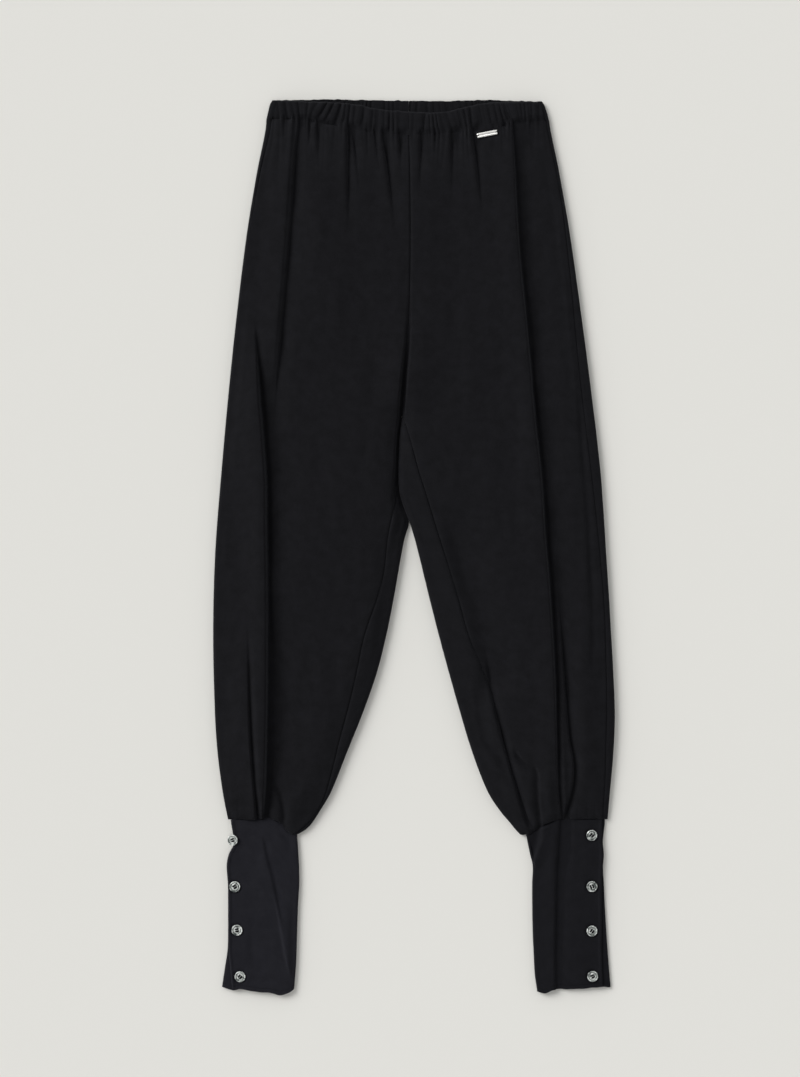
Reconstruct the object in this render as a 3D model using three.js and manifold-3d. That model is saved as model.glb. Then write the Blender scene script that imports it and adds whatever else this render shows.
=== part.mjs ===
import * as THREE from "three";
import { mergeVertices } from "three/addons/utils/BufferGeometryUtils.js";
import Module from "manifold-3d";

const wasm = await Module();
wasm.setup();
const { clamp, degToRad, lerp, smoothstep } = THREE.MathUtils;

// Harem pants laid flat on a table, front up, waist towards +Y. Sizes are in millimetres.
// Left is -X and right is +X, as seen from above.

// Driving sizes
const LEG_CLOTH = 1.2; // wall of the crepe
const CUFF_CLOTH = 1.3; // wall of a cuff, doubled and pressed
const BAND_WALL = 2.4; // wall of the waistband, casing with its elastic
const SEAM_GAP = 0.3; // between two pieces where a seam joins them
const ROLL = 3.2; // how far in from the outline an edge of cloth rounds over
const HOLLOW = 3.6; // most height left between front and back where the layers lie together
const CROTCH_Y = 150;
const WAIST_Y = 490;
const LEG_END_Y = -313; // outer end of the seam to the cuff
const HALF_GAP = SEAM_GAP / 2;
const LEAST_HEIGHT = 2 * LEG_CLOTH + 0.5; // where front and back lie on each other

const table = (names, rows) =>
  rows.map((row) => Object.fromEntries(row.map((value, i) => [names[i], value])));

// The outline of the legs from above, with the height of the rolled edge and how much the
// front crowns.
const OUTLINE = table(["y", "left", "right", "edge", "crown"], [
  [496, -169.5, 154.8, 6.0, 0.3],
  [477, -171, 157.5, 5.9, 0.6],
  [431, -180.5, 167, 5.6, 1.0],
  [362, -192, 179, 5.4, 1.3],
  [270, -203.5, 192, 5.2, 1.5],
  [178, -213.2, 204, 5.2, 1.6],
  [86, -221.5, 214.6, 5.2, 1.8],
  [-6, -228.6, 221, 5.2, 2.0],
  [-98, -231, 226.7, 5.4, 2.4],
  [-190, -229, 231, 5.6, 2.9],
  [-236, -226, 229.4, 5.8, 3.2],
  [-282, -220, 225.4, 5.8, 2.6],
  [-313, -214, 222.8, 5.0, 0.6],
]);

// The inner edges of the legs, which touch from the crotch down to the fork.
const INSIDE_LEG = table(["y", "left", "right"], [
  [150, -14.1, -13.3],
  [128, -16.8, -16.0],
  [88, -18.2, -17.4],
  [66, -18.2, -17.4],
  [50, -14.8, -14.0],
  [30, -6.2, -5.2],
  [12, -10.2, 0],
  [-6, -14, 4.8],
  [-52, -22, 16],
  [-98, -31, 27.6],
  [-144, -42.5, 40],
  [-190, -58.5, 53],
  [-236, -77, 67],
  [-282, -95.5, 85],
  [-305, -109, 100],
  [-318.5, -118, 111.5],
  [-325.5, -125, 117],
  [-331, -134.5, 122.5],
]);

// The centre seam, front and back, from the waist to the crotch.
const CENTRE_SEAM = table(["y", "x"], [
  [500, -6],
  [438, -4.6],
  [336, -4],
  [238, -5],
  [192, -7],
  [150, -11],
]);

// The inseams, which show on the front because the backs wrap round the inner edges.
const INSEAM = table(["y", "left", "right"], [
  [150, -15.1, -12.3],
  [128, -17.8, -5.6],
  [88, -19.2, 5.4],
  [60, -20.4, 14.2],
  [12, -30, 29],
  [-28, -34.5, 41.5],
  [-56, -41.4, 50],
  [-102, -57, 63],
  [-142, -65.5, 79],
  [-172, -72.3, 90.4],
  [-198, -79, 97],
  [-220, -85, 101.8],
  [-270, -97.5, 117],
  [-296, -106.5, 125.5],
  [-313, -117.5, 131.5],
  [-331, -138, 140],
]);

// How far in from the outline the side seams lie; less than nothing is round the edge's roll.
const SIDE_SEAM = table(["y", "left", "right"], [
  [500, 6.4, 3.6],
  [433, 4.2, 3.4],
  [385, 2.6, 3.8],
  [356, -1, 5],
  [300, -1, 7],
  [204, -1, 11],
  [100, -1, 11.2],
  [-15, -1, 7.2],
  [-79, -1, 6.4],
  [-150, -1, 8.4],
  [-222, -1, 9.6],
  [-280, -1, 6.6],
  [-331, -1, 6],
]);

// The large folds of the fronts. Depth is down into the cloth, and a ridge has less than nothing.
// Left and right are a fold's widths, and the fades are the lengths over which its ends run out.
const FOLD = [
  ["name", "headX", "headY", "midX", "midY", "tailX", "tailY"],
  ["depth", "left", "right", "headFade", "tailFade"],
].flat();
const FOLD_REACH = 3; // of a fold's width to each side
const FOLDS = table(
  FOLD,
  [
    ["valley between the legs", -11, 262, -11.6, 200, -13.8, 148, 4.2, 4.5, 4.5, 70, 0],
    ["left upper crease", -133, 510, -145, 336, -163, 130, 1.5, 5, 10, 10, 120],
    ["left upper ridge", -142, 510, -155, 336, -172, 130, -0.8, 8, 7, 10, 120],
    ["left pleat", -180.5, 240, -166, -61, -169, -331, 3.8, 4, 15, 150, 0],
    ["left pleat's ridge", -192, 240, -178, -61, -180, -331, -2.2, 13, 6, 150, 14],
    ["left pleat by the side", -192, -105, -188.6, -222, -182, -331, 2.4, 5, 5, 70, 0],
    ["left pleat by the inseam", -162, -268, -154, -292, -154, -331, 2.2, 3.5, 4.5, 18, 0],
    ["left puff over the cuff", -164, -270, -163, -294, -163, -318, -1.8, 5, 6, 20, 16],
    ["left inner puff", -128, -262, -134, -292, -142, -322, -1.6, 13, 10, 30, 12],
    ["right upper crease", 117, 510, 146, 77, 170, -331, 3.6, 5.5, 5.5, 60, 0],
    ["right upper ridge", 127, 510, 156, 77, 180, -331, -1.6, 6, 9, 60, 40],
    ["right pleat by the side", 166, -50, 179, -222, 177, -331, 2.4, 4, 5, 90, 0],
    ["right side crease", 187, 190, 202, -15, 206, -140, 0.8, 4.5, 4.5, 60, 60],
    ["right knee crease", 43.7, 40, 78, -75, 94, -182, 1.1, 4.5, 7, 50, 40],
    ["right shin crease", 74, -172, 98, -243, 118, -290, 1.5, 7, 9, 30, 30],
    ["right pleat by the inseam", 140, -244, 143, -284, 146, -331, 2.6, 3.5, 6, 16, 0],
    ["right puff over the cuff", 156, -250, 157, -288, 158, -320, -1.8, 6, 6, 30, 14],
  ],
);

// The gathers below the waistband: where each starts, where it runs out, and how deep it is.
const GATHERS = table(["x", "tailX", "tailY", "depth"], [
  [-149, -149.5, 452, 0.8],
  [-120, -121, 446, 1.0],
  [-110, -108, 436, 1.1],
  [-75, -75, 350, 1.6],
  [-66, -61, 400, 1.3],
  [-54, -53, 436, 1.0],
  [-45.5, -39, 424, 1.2],
  [-34, -20, 350, 1.8],
  [-15.6, -15, 420, 1.2],
  [9, 6, 392, 1.4],
  [24, 25, 440, 0.9],
  [44, 44, 390, 1.4],
  [53, 54, 434, 1.0],
  [69, 80, 370, 1.8],
  [101, 102, 440, 0.8],
  [135, 137, 436, 0.9],
]);
const GATHER_WIDTH = 3.6;
const GATHER_LIFT = 1.3; // how high the cloth stands between the gathers at the band
const GATHER_REACH = 95;
const GATHER_TOP_Y = 505; // under the waistband
const GATHER_FADE = 0.8; // of a gather's length, over which it runs out

for (const gather of GATHERS) {
  FOLDS.push({
    headX: gather.x,
    headY: GATHER_TOP_Y,
    midX: (gather.x + gather.tailX) / 2,
    midY: (GATHER_TOP_Y + gather.tailY) / 2,
    tailX: gather.tailX,
    tailY: gather.tailY,
    depth: gather.depth,
    left: GATHER_WIDTH,
    right: GATHER_WIDTH,
    headFade: 1,
    tailFade: GATHER_FADE * (GATHER_TOP_Y - gather.tailY),
  });
}

// The curve through a table's rows, read as a column against y.
function curveOf(rows, column, by = "y") {
  const knots = rows.map((row) => ({ at: row[by], value: row[column] }));
  knots.sort((a, b) => a.at - b.at);
  const slopeAt = (i) => {
    const before = knots[Math.max(i - 1, 0)];
    const after = knots[Math.min(i + 1, knots.length - 1)];
    return (after.value - before.value) / (after.at - before.at);
  };
  return (at) => {
    const place = clamp(at, knots[0].at, knots[knots.length - 1].at);
    let i = knots.findIndex((knot) => knot.at >= place);
    i = Math.max(i, 1) - 1;
    const span = knots[i + 1].at - knots[i].at;
    const t = (place - knots[i].at) / span;
    const rise = 3 * t * t - 2 * t * t * t;
    const leave = t * (1 - t) * (1 - t) * span * slopeAt(i);
    const arrive = t * t * (t - 1) * span * slopeAt(i + 1);
    return lerp(knots[i].value, knots[i + 1].value, rise) + leave + arrive;
  };
}

const centreSeam = curveOf(CENTRE_SEAM, "x");
const edgeHeight = curveOf(OUTLINE, "edge");
const crown = curveOf(OUTLINE, "crown");

// A fold's place and strength at a section: its line is the parabola through head, middle and tail.
function foldX(fold, y) {
  const lower = (fold.midX - fold.tailX) / (fold.midY - fold.tailY);
  const upper = (fold.headX - fold.midX) / (fold.headY - fold.midY);
  const bend = (upper - lower) / (fold.headY - fold.tailY);
  return fold.tailX + (y - fold.tailY) * (lower + bend * (y - fold.midY));
}

function foldStrength(fold, y) {
  const fade = (inside, length) => (length ? smoothstep(inside, 0, length) : Number(inside >= 0));
  return fade(fold.headY - y, fold.headFade) * fade(y - fold.tailY, fold.tailFade);
}

// How much a table's folds raise the cloth at a point.
function foldsLift(folds, x, y) {
  let lift = 0;
  for (const fold of folds) {
    const across = x - foldX(fold, y);
    const width = across < 0 ? fold.left : fold.right;
    if (Math.abs(across) > FOLD_REACH * width) continue;
    lift -= fold.depth * foldStrength(fold, y) * Math.exp(-((across / width) ** 2));
  }
  return lift;
}

// The lower edge of the waistband, which dips at the centre of the front.
const BAND_FOOT = table(["x", "front", "back"], [
  [-172, 492, 492],
  [-130, 490.5, 489],
  [-110, 487, 487],
  [-80, 482, 486],
  [-56, 477, 485.5],
  [-8, 473.5, 485],
  [30, 474, 485],
  [56, 476, 485.5],
  [84, 480.5, 486],
  [116, 485, 487],
  [158, 491, 491],
]);
const BEND_REACH = 90; // how far below the band, or above the cuff, the sections are still bent

// How far below its level a section runs at x, where the seam to the cuff drops towards the inseam.
const CUFF_DROP = 18;
const cuffDrop = {
  left: (x) => CUFF_DROP * smoothstep(x, -164, -137),
  right: (x) => CUFF_DROP * smoothstep(-x, -166, -127),
};

const bandFoot = {
  front: curveOf(BAND_FOOT, "front", "x"),
  back: curveOf(BAND_FOOT, "back", "x"),
};

// One leg's curves, with the way inwards from its outer edge.
const legs = {};
for (const side of ["left", "right"]) {
  legs[side] = {
    side,
    inwards: side === "left" ? 1 : -1,
    outer: curveOf(OUTLINE, side),
    inner: curveOf(INSIDE_LEG, side),
    inseam: curveOf(INSEAM, side),
    sideSeam: curveOf(SIDE_SEAM, side),
  };
}

// A section across a leg: the level it starts at, its two edges, and how its line is bent.
function sectionOf(leg, level, layer) {
  const low = smoothstep(-level, -(LEG_END_Y + BEND_REACH), -LEG_END_Y);
  const high = smoothstep(level, WAIST_Y - BEND_REACH, WAIST_Y);
  const joined = level > CROTCH_Y;
  return {
    leg,
    level,
    joined,
    outer: leg.outer(level),
    inner: joined ? centreSeam(level) : leg.inner(level - CUFF_DROP * low),
    yAt: (x) => level - low * cuffDrop[leg.side](x) + high * (bandFoot[layer](x) - WAIST_Y),
  };
}

// The height of the front's outer face over a point that lies inside the edges' rolls.
const FOLDS_START = 13; // how far in from a roll the folds have their whole height
function frontHeight(section, x) {
  const y = section.yAt(x);
  const width = Math.abs(section.inner - section.outer);
  const fromOuter = Math.abs(x - section.outer);
  const fromInner = Math.abs(section.inner - x);
  const inset = section.joined ? fromOuter : Math.min(fromOuter, fromInner);
  const across = section.joined ? 0.5 * (fromOuter / width) : fromOuter / width;
  const arch = 1 - Math.abs(2 * across - 1) ** 3;
  const whole = smoothstep(inset - ROLL, 0, FOLDS_START);
  const gathered = GATHER_LIFT * smoothstep(y, WAIST_Y - GATHER_REACH, WAIST_Y);
  const folded = (gathered + foldsLift(FOLDS, x, y)) * whole;
  const height = edgeHeight(section.level) + crown(section.level) * arch + folded;
  return Math.max(height, LEAST_HEIGHT);
}

// The point on a leg's top face at x, with the inner face of the wall under it. Where folds stand
// high, several layers of cloth lie in them, so the wall is thicker there.
function topPoint(section, x) {
  const height = frontHeight(section, x);
  const y = section.yAt(x);
  const under = Math.min(height - LEG_CLOTH, LEG_CLOTH + HOLLOW);
  return { outer: new THREE.Vector3(x, y, height), inner: new THREE.Vector3(x, y, under) };
}

// The point on an edge's roll, by its angle: a quarter turn is on top, less a quarter on the floor.
function rollPoint(section, end, angle) {
  const inwards = end === "outer" ? section.leg.inwards : -section.leg.inwards;
  const centre = section[end] + inwards * ROLL;
  const middle = edgeHeight(section.level) / 2;
  const outerX = centre - inwards * ROLL * Math.cos(angle);
  const innerX = centre - inwards * (ROLL - LEG_CLOTH) * Math.cos(angle);
  const y = section.yAt(centre);
  return {
    outer: new THREE.Vector3(outerX, y, middle + middle * Math.sin(angle)),
    inner: new THREE.Vector3(innerX, y, middle + (middle - LEG_CLOTH) * Math.sin(angle)),
  };
}

// An inset less than the roll is an angle on it, and less than nothing is its outermost line.
const angleOfInset = (inset) => Math.asin(clamp(inset / ROLL, 0, 1));

// Spreads the columns of a section between two places, closer where folds are.
const COLUMN_STEP = 15;
const COLUMNS_PER_FOLD_SIDE = 1.1;
const COLUMN_SAMPLES = 160;
const FAINT_FOLD = 0.05; // of its strength, below which a fold gets no columns
const CLEAR_FOLD = 0.35; // of its strength, above which a column lies on its line
const ROUNDING = 1e-9;

function columnsBetween(section, from, to) {
  const middleY = section.yAt((from + to) / 2);
  const troughs = FOLDS.filter((fold) => fold.depth > 0);
  const read = troughs.map((fold) => ({
    fold,
    at: foldX(fold, middleY),
    strength: foldStrength(fold, section.level),
  }));
  const active = read.filter(({ strength }) => strength > FAINT_FOLD);
  const span = Math.abs(to - from);
  const load = [0];
  for (let i = 0; i < COLUMN_SAMPLES; i++) {
    const x = lerp(from, to, (i + 0.5) / COLUMN_SAMPLES);
    let density = 1 / COLUMN_STEP;
    for (const { fold, at, strength } of active) {
      const width = x < at ? fold.left : fold.right;
      const near = Math.exp(-0.5 * ((x - at) / width) ** 2);
      density += (COLUMNS_PER_FOLD_SIDE * strength * near) / width;
    }
    load.push(load[i] + (density * span) / COLUMN_SAMPLES);
  }
  const whole = load[COLUMN_SAMPLES];
  const count = Math.max(2, Math.round(whole));
  const columns = [];
  for (let k = 0; k <= count; k++) {
    const wanted = (whole * k) / count;
    let i = load.findIndex((value) => value >= wanted - ROUNDING);
    i = Math.max(i, 1);
    const part = (wanted - load[i - 1]) / (load[i] - load[i - 1]);
    columns.push(lerp(from, to, (i - 1 + part) / COLUMN_SAMPLES));
  }
  for (const { at: x, strength } of active) {
    const inside = columns.slice(1, -1);
    if (strength < CLEAR_FOLD || !inside.length) continue;
    const nearest = inside.reduce((a, b) => (Math.abs(b - x) < Math.abs(a - x) ? b : a));
    if (Math.abs(nearest - x) < span / count) columns[columns.indexOf(nearest)] = x;
  }
  return columns;
}

// A sheet of cloth: points with an outer and an inner face, and the triangles between them.
class Sheet {
  constructor() {
    this.points = [];
    this.triangles = [];
  }

  add(point) {
    if (point.index === undefined || this.points[point.index] !== point) {
      point.index = this.points.length;
      this.points.push(point);
    }
    return point.index;
  }

  // Joins two runs of points with triangles, always across the shorter diagonal.
  join(above, below) {
    let i = 0;
    let j = 0;
    while (i < above.length - 1 || j < below.length - 1) {
      const canI = i < above.length - 1;
      const canJ = j < below.length - 1;
      const stepI = canI ? above[i + 1].outer.distanceTo(below[j].outer) : Infinity;
      const stepJ = canJ ? above[i].outer.distanceTo(below[j + 1].outer) : Infinity;
      if (stepI <= stepJ) {
        this.triangles.push([this.add(above[i]), this.add(below[j]), this.add(above[i + 1])]);
        i++;
      } else {
        this.triangles.push([this.add(above[i]), this.add(below[j]), this.add(below[j + 1])]);
        j++;
      }
    }
  }

  // Joins rows made of the same stretches; a row may have more stretches than the one before it.
  joinRows(rows) {
    for (let k = 1; k < rows.length; k++) {
      const shared = Math.min(rows[k - 1].length, rows[k].length);
      for (let part = 0; part < shared; part++) this.join(rows[k - 1][part], rows[k][part]);
    }
  }

  // Closes the sheet into a wall: the outer face, the inner face turned over, and rims between.
  geometry() {
    const count = this.points.length;
    const faces = [];
    const edges = new Map();
    for (const [a, b, c] of this.triangles) {
      faces.push([a, b, c], [a + count, c + count, b + count]);
      for (const [from, to] of [[a, b], [b, c], [c, a]]) edges.set(from + "," + to, [from, to]);
    }
    for (const [from, to] of edges.values()) {
      if (edges.has(to + "," + from)) continue;
      faces.push([to, from, from + count], [to, from + count, to + count]);
    }
    const places = [...this.points.map((p) => p.outer), ...this.points.map((p) => p.inner)];
    return facingOut(places, faces);
  }
}

// A geometry from places and faces, turned so that its faces point out.
function facingOut(places, faces) {
  let volume = 0;
  const cross = new THREE.Vector3();
  for (const [a, b, c] of faces) volume += cross.crossVectors(places[a], places[b]).dot(places[c]);
  const index = faces.flatMap(([a, b, c]) => (volume > 0 ? [a, b, c] : [a, c, b]));
  const geometry = new THREE.BufferGeometry().setFromPoints(places);
  geometry.setIndex(index);
  geometry.computeVertexNormals();
  return geometry;
}

// Materials
const finish = (color, roughness, metalness = 0) =>
  new THREE.MeshStandardMaterial({ color, roughness, metalness });
const CREPE = finish(0x19191b, 0.9);
const CUFF_CREPE = finish(0x1e1e22, 0.8);
const SHELL = finish(0x6f7577, 0.35);
const METAL = finish(0xc4c2bf, 0.25, 1);

const pants = new THREE.Group();
pants.name = "harem_pants";

function addPiece(name, geometry, material, parent = pants) {
  const mesh = new THREE.Mesh(geometry, material);
  mesh.name = name;
  parent.add(mesh);
  return mesh;
}

// The levels of the sections, from the waistband down to the cuff.
const LEVELS = [
  [WAIST_Y, 478, 462, 442, 418, 390, 358, 322, 286, 250, 216, 186, 164],
  [CROTCH_Y, 134, 110, 86, 66, 50, 38, 28, 10, -14, -44, -76, -108, -140, -170, -198, -222, -242],
  [-260, -276, -290, -301, -308, LEG_END_Y],
].flat();

const ROLL_STEPS = 4;
const FRONT_ROLL_STEPS = 2; // from the seam to the top
const TOP_ANGLE = Math.PI / 2;
const STEEPEST = 1.5; // most angle at which a front still starts on the roll
const GAP_ANGLE = HALF_GAP / (ROLL - LEG_CLOTH / 2);

// Angles along a roll from one to another.
function rollRun(section, end, from, to, steps = ROLL_STEPS) {
  const run = [];
  for (let k = 0; k <= steps; k++) run.push(rollPoint(section, end, lerp(from, to, k / steps)));
  return run;
}

// The front of a leg: from the side seam over the top to the centre seam or the inseam.
function frontRow(leg, level) {
  const section = sectionOf(leg, level, "front");
  const seamInset = leg.sideSeam(level);
  const outerRun = [];
  let from = section.outer + leg.inwards * (seamInset + HALF_GAP);
  if (seamInset + HALF_GAP < ROLL) {
    const angle = angleOfInset(seamInset);
    from = section.outer + leg.inwards * ROLL;
    const start = Math.min(angle + GAP_ANGLE, STEEPEST);
    outerRun.push(...rollRun(section, "outer", start, TOP_ANGLE, FRONT_ROLL_STEPS));
  }
  const innerRun = [];
  let to = section.inner - leg.inwards * HALF_GAP;
  if (!section.joined) {
    const inset = Math.abs(section.inner - leg.inseam(section.yAt(leg.inseam(level))));
    to = section.inner - leg.inwards * (inset + HALF_GAP);
    if (inset + HALF_GAP < ROLL) {
      to = section.inner - leg.inwards * ROLL;
      const end = Math.min(angleOfInset(inset) + GAP_ANGLE, STEEPEST);
      innerRun.push(...rollRun(section, "inner", TOP_ANGLE, end, FRONT_ROLL_STEPS));
    }
  }
  const top = columnsBetween(section, from, to).map((x) => topPoint(section, x));
  if (outerRun.length) outerRun[outerRun.length - 1] = top[0];
  else outerRun.push(top[0]);
  if (innerRun.length) innerRun[0] = top[top.length - 1];
  else innerRun.push(top[top.length - 1]);
  return [outerRun, top, innerRun];
}

// The back of a leg: from the side seam round the outer edge, along the floor, and below the crotch
// round the inner edge and over the top to the inseam.
const FLOOR_STEPS = 2;
const FLOOR_STEPS_AT_SEAM = 9; // the edges to the waistband and the cuff are curved
const CURVED_BY_CUFF = 10; // how far up from the cuff
const nearEnd = (level) => level > WAIST_Y - BEND_REACH || level < LEG_END_Y + CURVED_BY_CUFF;

function backRow(leg, level) {
  const section = sectionOf(leg, level, "back");
  const seamInset = leg.sideSeam(level) - HALF_GAP;
  const strip = [];
  let startAngle = TOP_ANGLE;
  if (seamInset > ROLL) {
    strip.push(topPoint(section, section.outer + leg.inwards * seamInset));
  } else {
    startAngle = angleOfInset(leg.sideSeam(level)) - GAP_ANGLE;
  }
  const outerRoll = rollRun(section, "outer", startAngle, -TOP_ANGLE);
  strip.push(outerRoll[0]);
  const floorStart = outerRoll[ROLL_STEPS];
  const floorSteps = nearEnd(level) ? FLOOR_STEPS_AT_SEAM : FLOOR_STEPS;
  const floorEndX = section.joined
    ? section.inner - leg.inwards * HALF_GAP
    : section.inner - leg.inwards * ROLL;
  const floor = [];
  for (let k = 0; k <= floorSteps; k++) {
    const x = lerp(floorStart.outer.x, floorEndX, k / floorSteps);
    const y = section.yAt(x);
    floor.push({ outer: new THREE.Vector3(x, y, 0), inner: new THREE.Vector3(x, y, LEG_CLOTH) });
  }
  floor[0] = floorStart;
  if (section.joined) return [strip, outerRoll, floor];

  const inset = Math.abs(section.inner - leg.inseam(section.yAt(leg.inseam(level)))) - HALF_GAP;
  const onRoll = inset <= ROLL;
  const endAngle = onRoll ? angleOfInset(inset) - GAP_ANGLE : TOP_ANGLE;
  const innerRoll = rollRun(section, "inner", -TOP_ANGLE, endAngle);
  innerRoll[0] = floor[floorSteps];
  const wrapped = [innerRoll[ROLL_STEPS]];
  if (!onRoll) {
    const end = section.inner - leg.inwards * inset;
    const start = section.inner - leg.inwards * ROLL;
    const columns = columnsBetween(section, start, end).slice(1);
    wrapped.push(...columns.map((x) => topPoint(section, x)));
  }
  return [strip, outerRoll, floor, innerRoll, wrapped];
}

for (const leg of Object.values(legs)) {
  for (const [name, rowOf] of [["front_leg_", frontRow], ["back_leg_", backRow]]) {
    const sheet = new Sheet();
    sheet.joinRows(LEVELS.map((level) => rowOf(leg, level)));
    addPiece(name + leg.side, sheet.geometry(), CREPE);
  }
}

// The waistband, in four lengths. Its top edge dips at the front, where the back's inner face shows.
const BAND_TOP = table(["x", "front", "back"], [
  [-166, 513.6, 513.6],
  [-91, 511, 515],
  [-66, 509, 514.4],
  [-44, 504, 514],
  [-8, 501, 513.6],
  [25, 499.5, 513],
  [45, 502.5, 513.4],
  [58, 506, 514],
  [84, 510.6, 514.2],
  [148, 512.4, 512.4],
]);
const BAND_SIDE = table(["y", "left", "right"], [
  [491, -170, 155.2],
  [500, -168, 153],
  [509.5, -165.6, 149.5],
  [514, -163, 146],
]);
const BAND_SEAM_INSET = { left: 6.6, right: 4.6 };
const BAND_ROLL = 3.4;
const BAND_GATHERS = 21; // in each of the four lengths
const BAND_CREST = 1.1; // how far a gather stands up
const BAND_LEAN = 3; // how far a gather leans between the band's two edges
const FRONT_BAND_FLOOR = BAND_WALL + BAND_CREST + 0.1; // clear of the back's crests
const BACK_BAND_CREST = 0.8 * BAND_CREST;
const BAND_LINES = [0, 0.5, 1];
const BAND_SEAM = 0.6; // the ditch between the band and the legs
const BAND_INNER_ROLL = 1; // inside the casing's turn at the side
const bandTop = { front: curveOf(BAND_TOP, "front", "x"), back: curveOf(BAND_TOP, "back", "x") };

const bandY = (layer, x, part) =>
  lerp(bandFoot[layer](x) + BAND_SEAM, bandTop[layer](x), part);

// The columns of a band length, two for each gather. Their widths and heights are uneven: each
// swings about its mean, with a beat that doesn't fall in with the gathers.
const GATHER_SWING = { width: 0.34, widthBeat: 2.1, height: 0.38, heightBeat: 3.7 };
function gatherColumns(seed) {
  const count = 2 * BAND_GATHERS;
  const { width, widthBeat, height, heightBeat } = GATHER_SWING;
  const columns = [];
  for (let k = 0; k <= count; k++) {
    const atEnd = k === 0 || k === count;
    const uneven = atEnd ? 0 : width * Math.sin(widthBeat * k + seed);
    const crest = k % 2 && !atEnd ? 1 - height + height * Math.sin(heightBeat * k + seed) : 0;
    columns.push({ across: (k + uneven) / count, crest });
  }
  return columns;
}

// The outermost line of the band at a part of its height.
function bandEdge(leg, layer, part) {
  const side = curveOf(BAND_SIDE, leg.side);
  return side(bandY(layer, leg.outer(WAIST_Y), part));
}

function bandX(leg, from, to, column, part) {
  const lean = BAND_LEAN * (part - 0.5) * Math.sin(Math.PI * column.across);
  return lerp(from, to, column.across) + leg.inwards * lean;
}

function frontBandRow(leg, part) {
  const from = bandEdge(leg, "front", part) + leg.inwards * (BAND_SEAM_INSET[leg.side] + HALF_GAP);
  const to = centreSeam(WAIST_Y) - leg.inwards * HALF_GAP;
  return gatherColumns(leg.inwards).map((column) => {
    const x = bandX(leg, from, to, column, part);
    const y = bandY("front", x, part);
    const height = FRONT_BAND_FLOOR + BAND_WALL + BAND_CREST * column.crest;
    return {
      outer: new THREE.Vector3(x, y, height),
      inner: new THREE.Vector3(x, y, FRONT_BAND_FLOOR),
    };
  });
}

// The back length goes round the side of the band and over the top to the side seam.
function backBandRow(leg, part) {
  const edge = bandEdge(leg, "back", part);
  const upper = FRONT_BAND_FLOOR + BAND_WALL;
  const centre = edge + leg.inwards * BAND_ROLL;
  const y = bandY("back", centre, part);
  const seam = edge + leg.inwards * (BAND_SEAM_INSET[leg.side] - HALF_GAP);
  const row = [
    {
      outer: new THREE.Vector3(seam, y, upper),
      inner: new THREE.Vector3(seam, y, FRONT_BAND_FLOOR),
    },
  ];
  for (let k = 0; k <= ROLL_STEPS; k++) {
    const angle = lerp(TOP_ANGLE, -TOP_ANGLE, k / ROLL_STEPS);
    const innerHalf = (FRONT_BAND_FLOOR - BAND_WALL) / 2;
    const out = (reach) => centre - leg.inwards * reach * Math.cos(angle);
    row.push({
      outer: new THREE.Vector3(out(BAND_ROLL), y, (upper / 2) * (1 + Math.sin(angle))),
      inner: new THREE.Vector3(out(BAND_INNER_ROLL), y, upper / 2 + innerHalf * Math.sin(angle)),
    });
  }
  const to = centreSeam(WAIST_Y) - leg.inwards * HALF_GAP;
  for (const column of gatherColumns(3 + leg.inwards).slice(1)) {
    const x = bandX(leg, centre, to, column, part);
    const crest = part > 0 ? BACK_BAND_CREST * column.crest : 0;
    const at = bandY("back", x, part);
    row.push({
      outer: new THREE.Vector3(x, at, 0),
      inner: new THREE.Vector3(x, at, BAND_WALL + crest),
    });
  }
  return row;
}

for (const leg of Object.values(legs)) {
  for (const [name, rowOf] of [["waistband_front_", frontBandRow], ["waistband_back_", backBandRow]]) {
    const sheet = new Sheet();
    sheet.joinRows(BAND_LINES.map((part) => [rowOf(leg, part)]));
    addPiece(name + leg.side, sheet.geometry(), CREPE);
  }
}

// The cuffs: each is one piece that goes round from under the buttons, along the floor, over the
// inner edge and back on top to its free edge. Outer is the outline, lap is the free edge.
const CUFF_EDGES = {
  left: table(["y", "outer", "lap", "inner"], [
    [-318, -210.5, -210, -129],
    [-332, -208, -207.6, -134.2],
    [-340, -206.4, -206, -133.8],
    [-353, -213, -212.4, -133],
    [-367, -215.6, -215, -132.2],
    [-388, -214.2, -213.6, -132],
    [-412, -214, -213.4, -133.4],
    [-446, -214, -213.4, -134.5],
    [-464, -214.6, -213.2, -135],
    [-481, -217, -211.5, -135.7],
    [-509, -221, -209, -138],
  ]),
  right: table(["y", "outer", "lap", "inner"], [
    [-318, 219.6, 216.4, 122],
    [-332, 218, 216, 129],
    [-340, 217.4, 216, 130.6],
    [-354, 218.5, 217.2, 133.4],
    [-369, 217.6, 216.2, 136.6],
    [-388, 218.5, 215.8, 136],
    [-412, 219.6, 215.7, 136],
    [-446, 221.6, 215.7, 136.6],
    [-466, 223, 215.7, 137.6],
    [-492, 225, 216.6, 139],
    [-509, 226.5, 217.5, 141.5],
  ]),
};
const CUFF_HEM = {
  left: table(["x", "y"], [
    [-221, -506],
    [-209, -510],
    [-200, -508],
    [-182, -511],
    [-163, -513],
    [-154, -515],
    [-145, -513],
    [-138, -508],
  ]),
  right: table(["x", "y"], [
    [141.5, -511],
    [150, -513],
    [159, -509.5],
    [177, -508.4],
    [196, -508],
    [210, -506.2],
    [226.5, -506],
  ]),
};
const CUFF_FOLDS = table(
  FOLD,
  [
    ["left cuff's slanting ridge", -176, -330, -158, -410, -139, -516, -1.8, 11, 6, 24, 0],
    ["left cuff's hollow by the ridge", -164, -338, -147, -410, -130, -516, 0.8, 8, 8, 24, 0],
    ["right cuff's hollow", 169, -313, 164.5, -410, 166, -516, 1.0, 8, 8, 6, 20],
  ],
);
const CUFF_ROLL = 2.6;
const CUFF_SEAM = 0.8; // the ditch between the gathered leg and the cuff
const UNDERLAP = 19; // width of the under layer below the buttons
const UNDERLAP_TOP = 2 * CUFF_CLOTH + 0.8;
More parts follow.
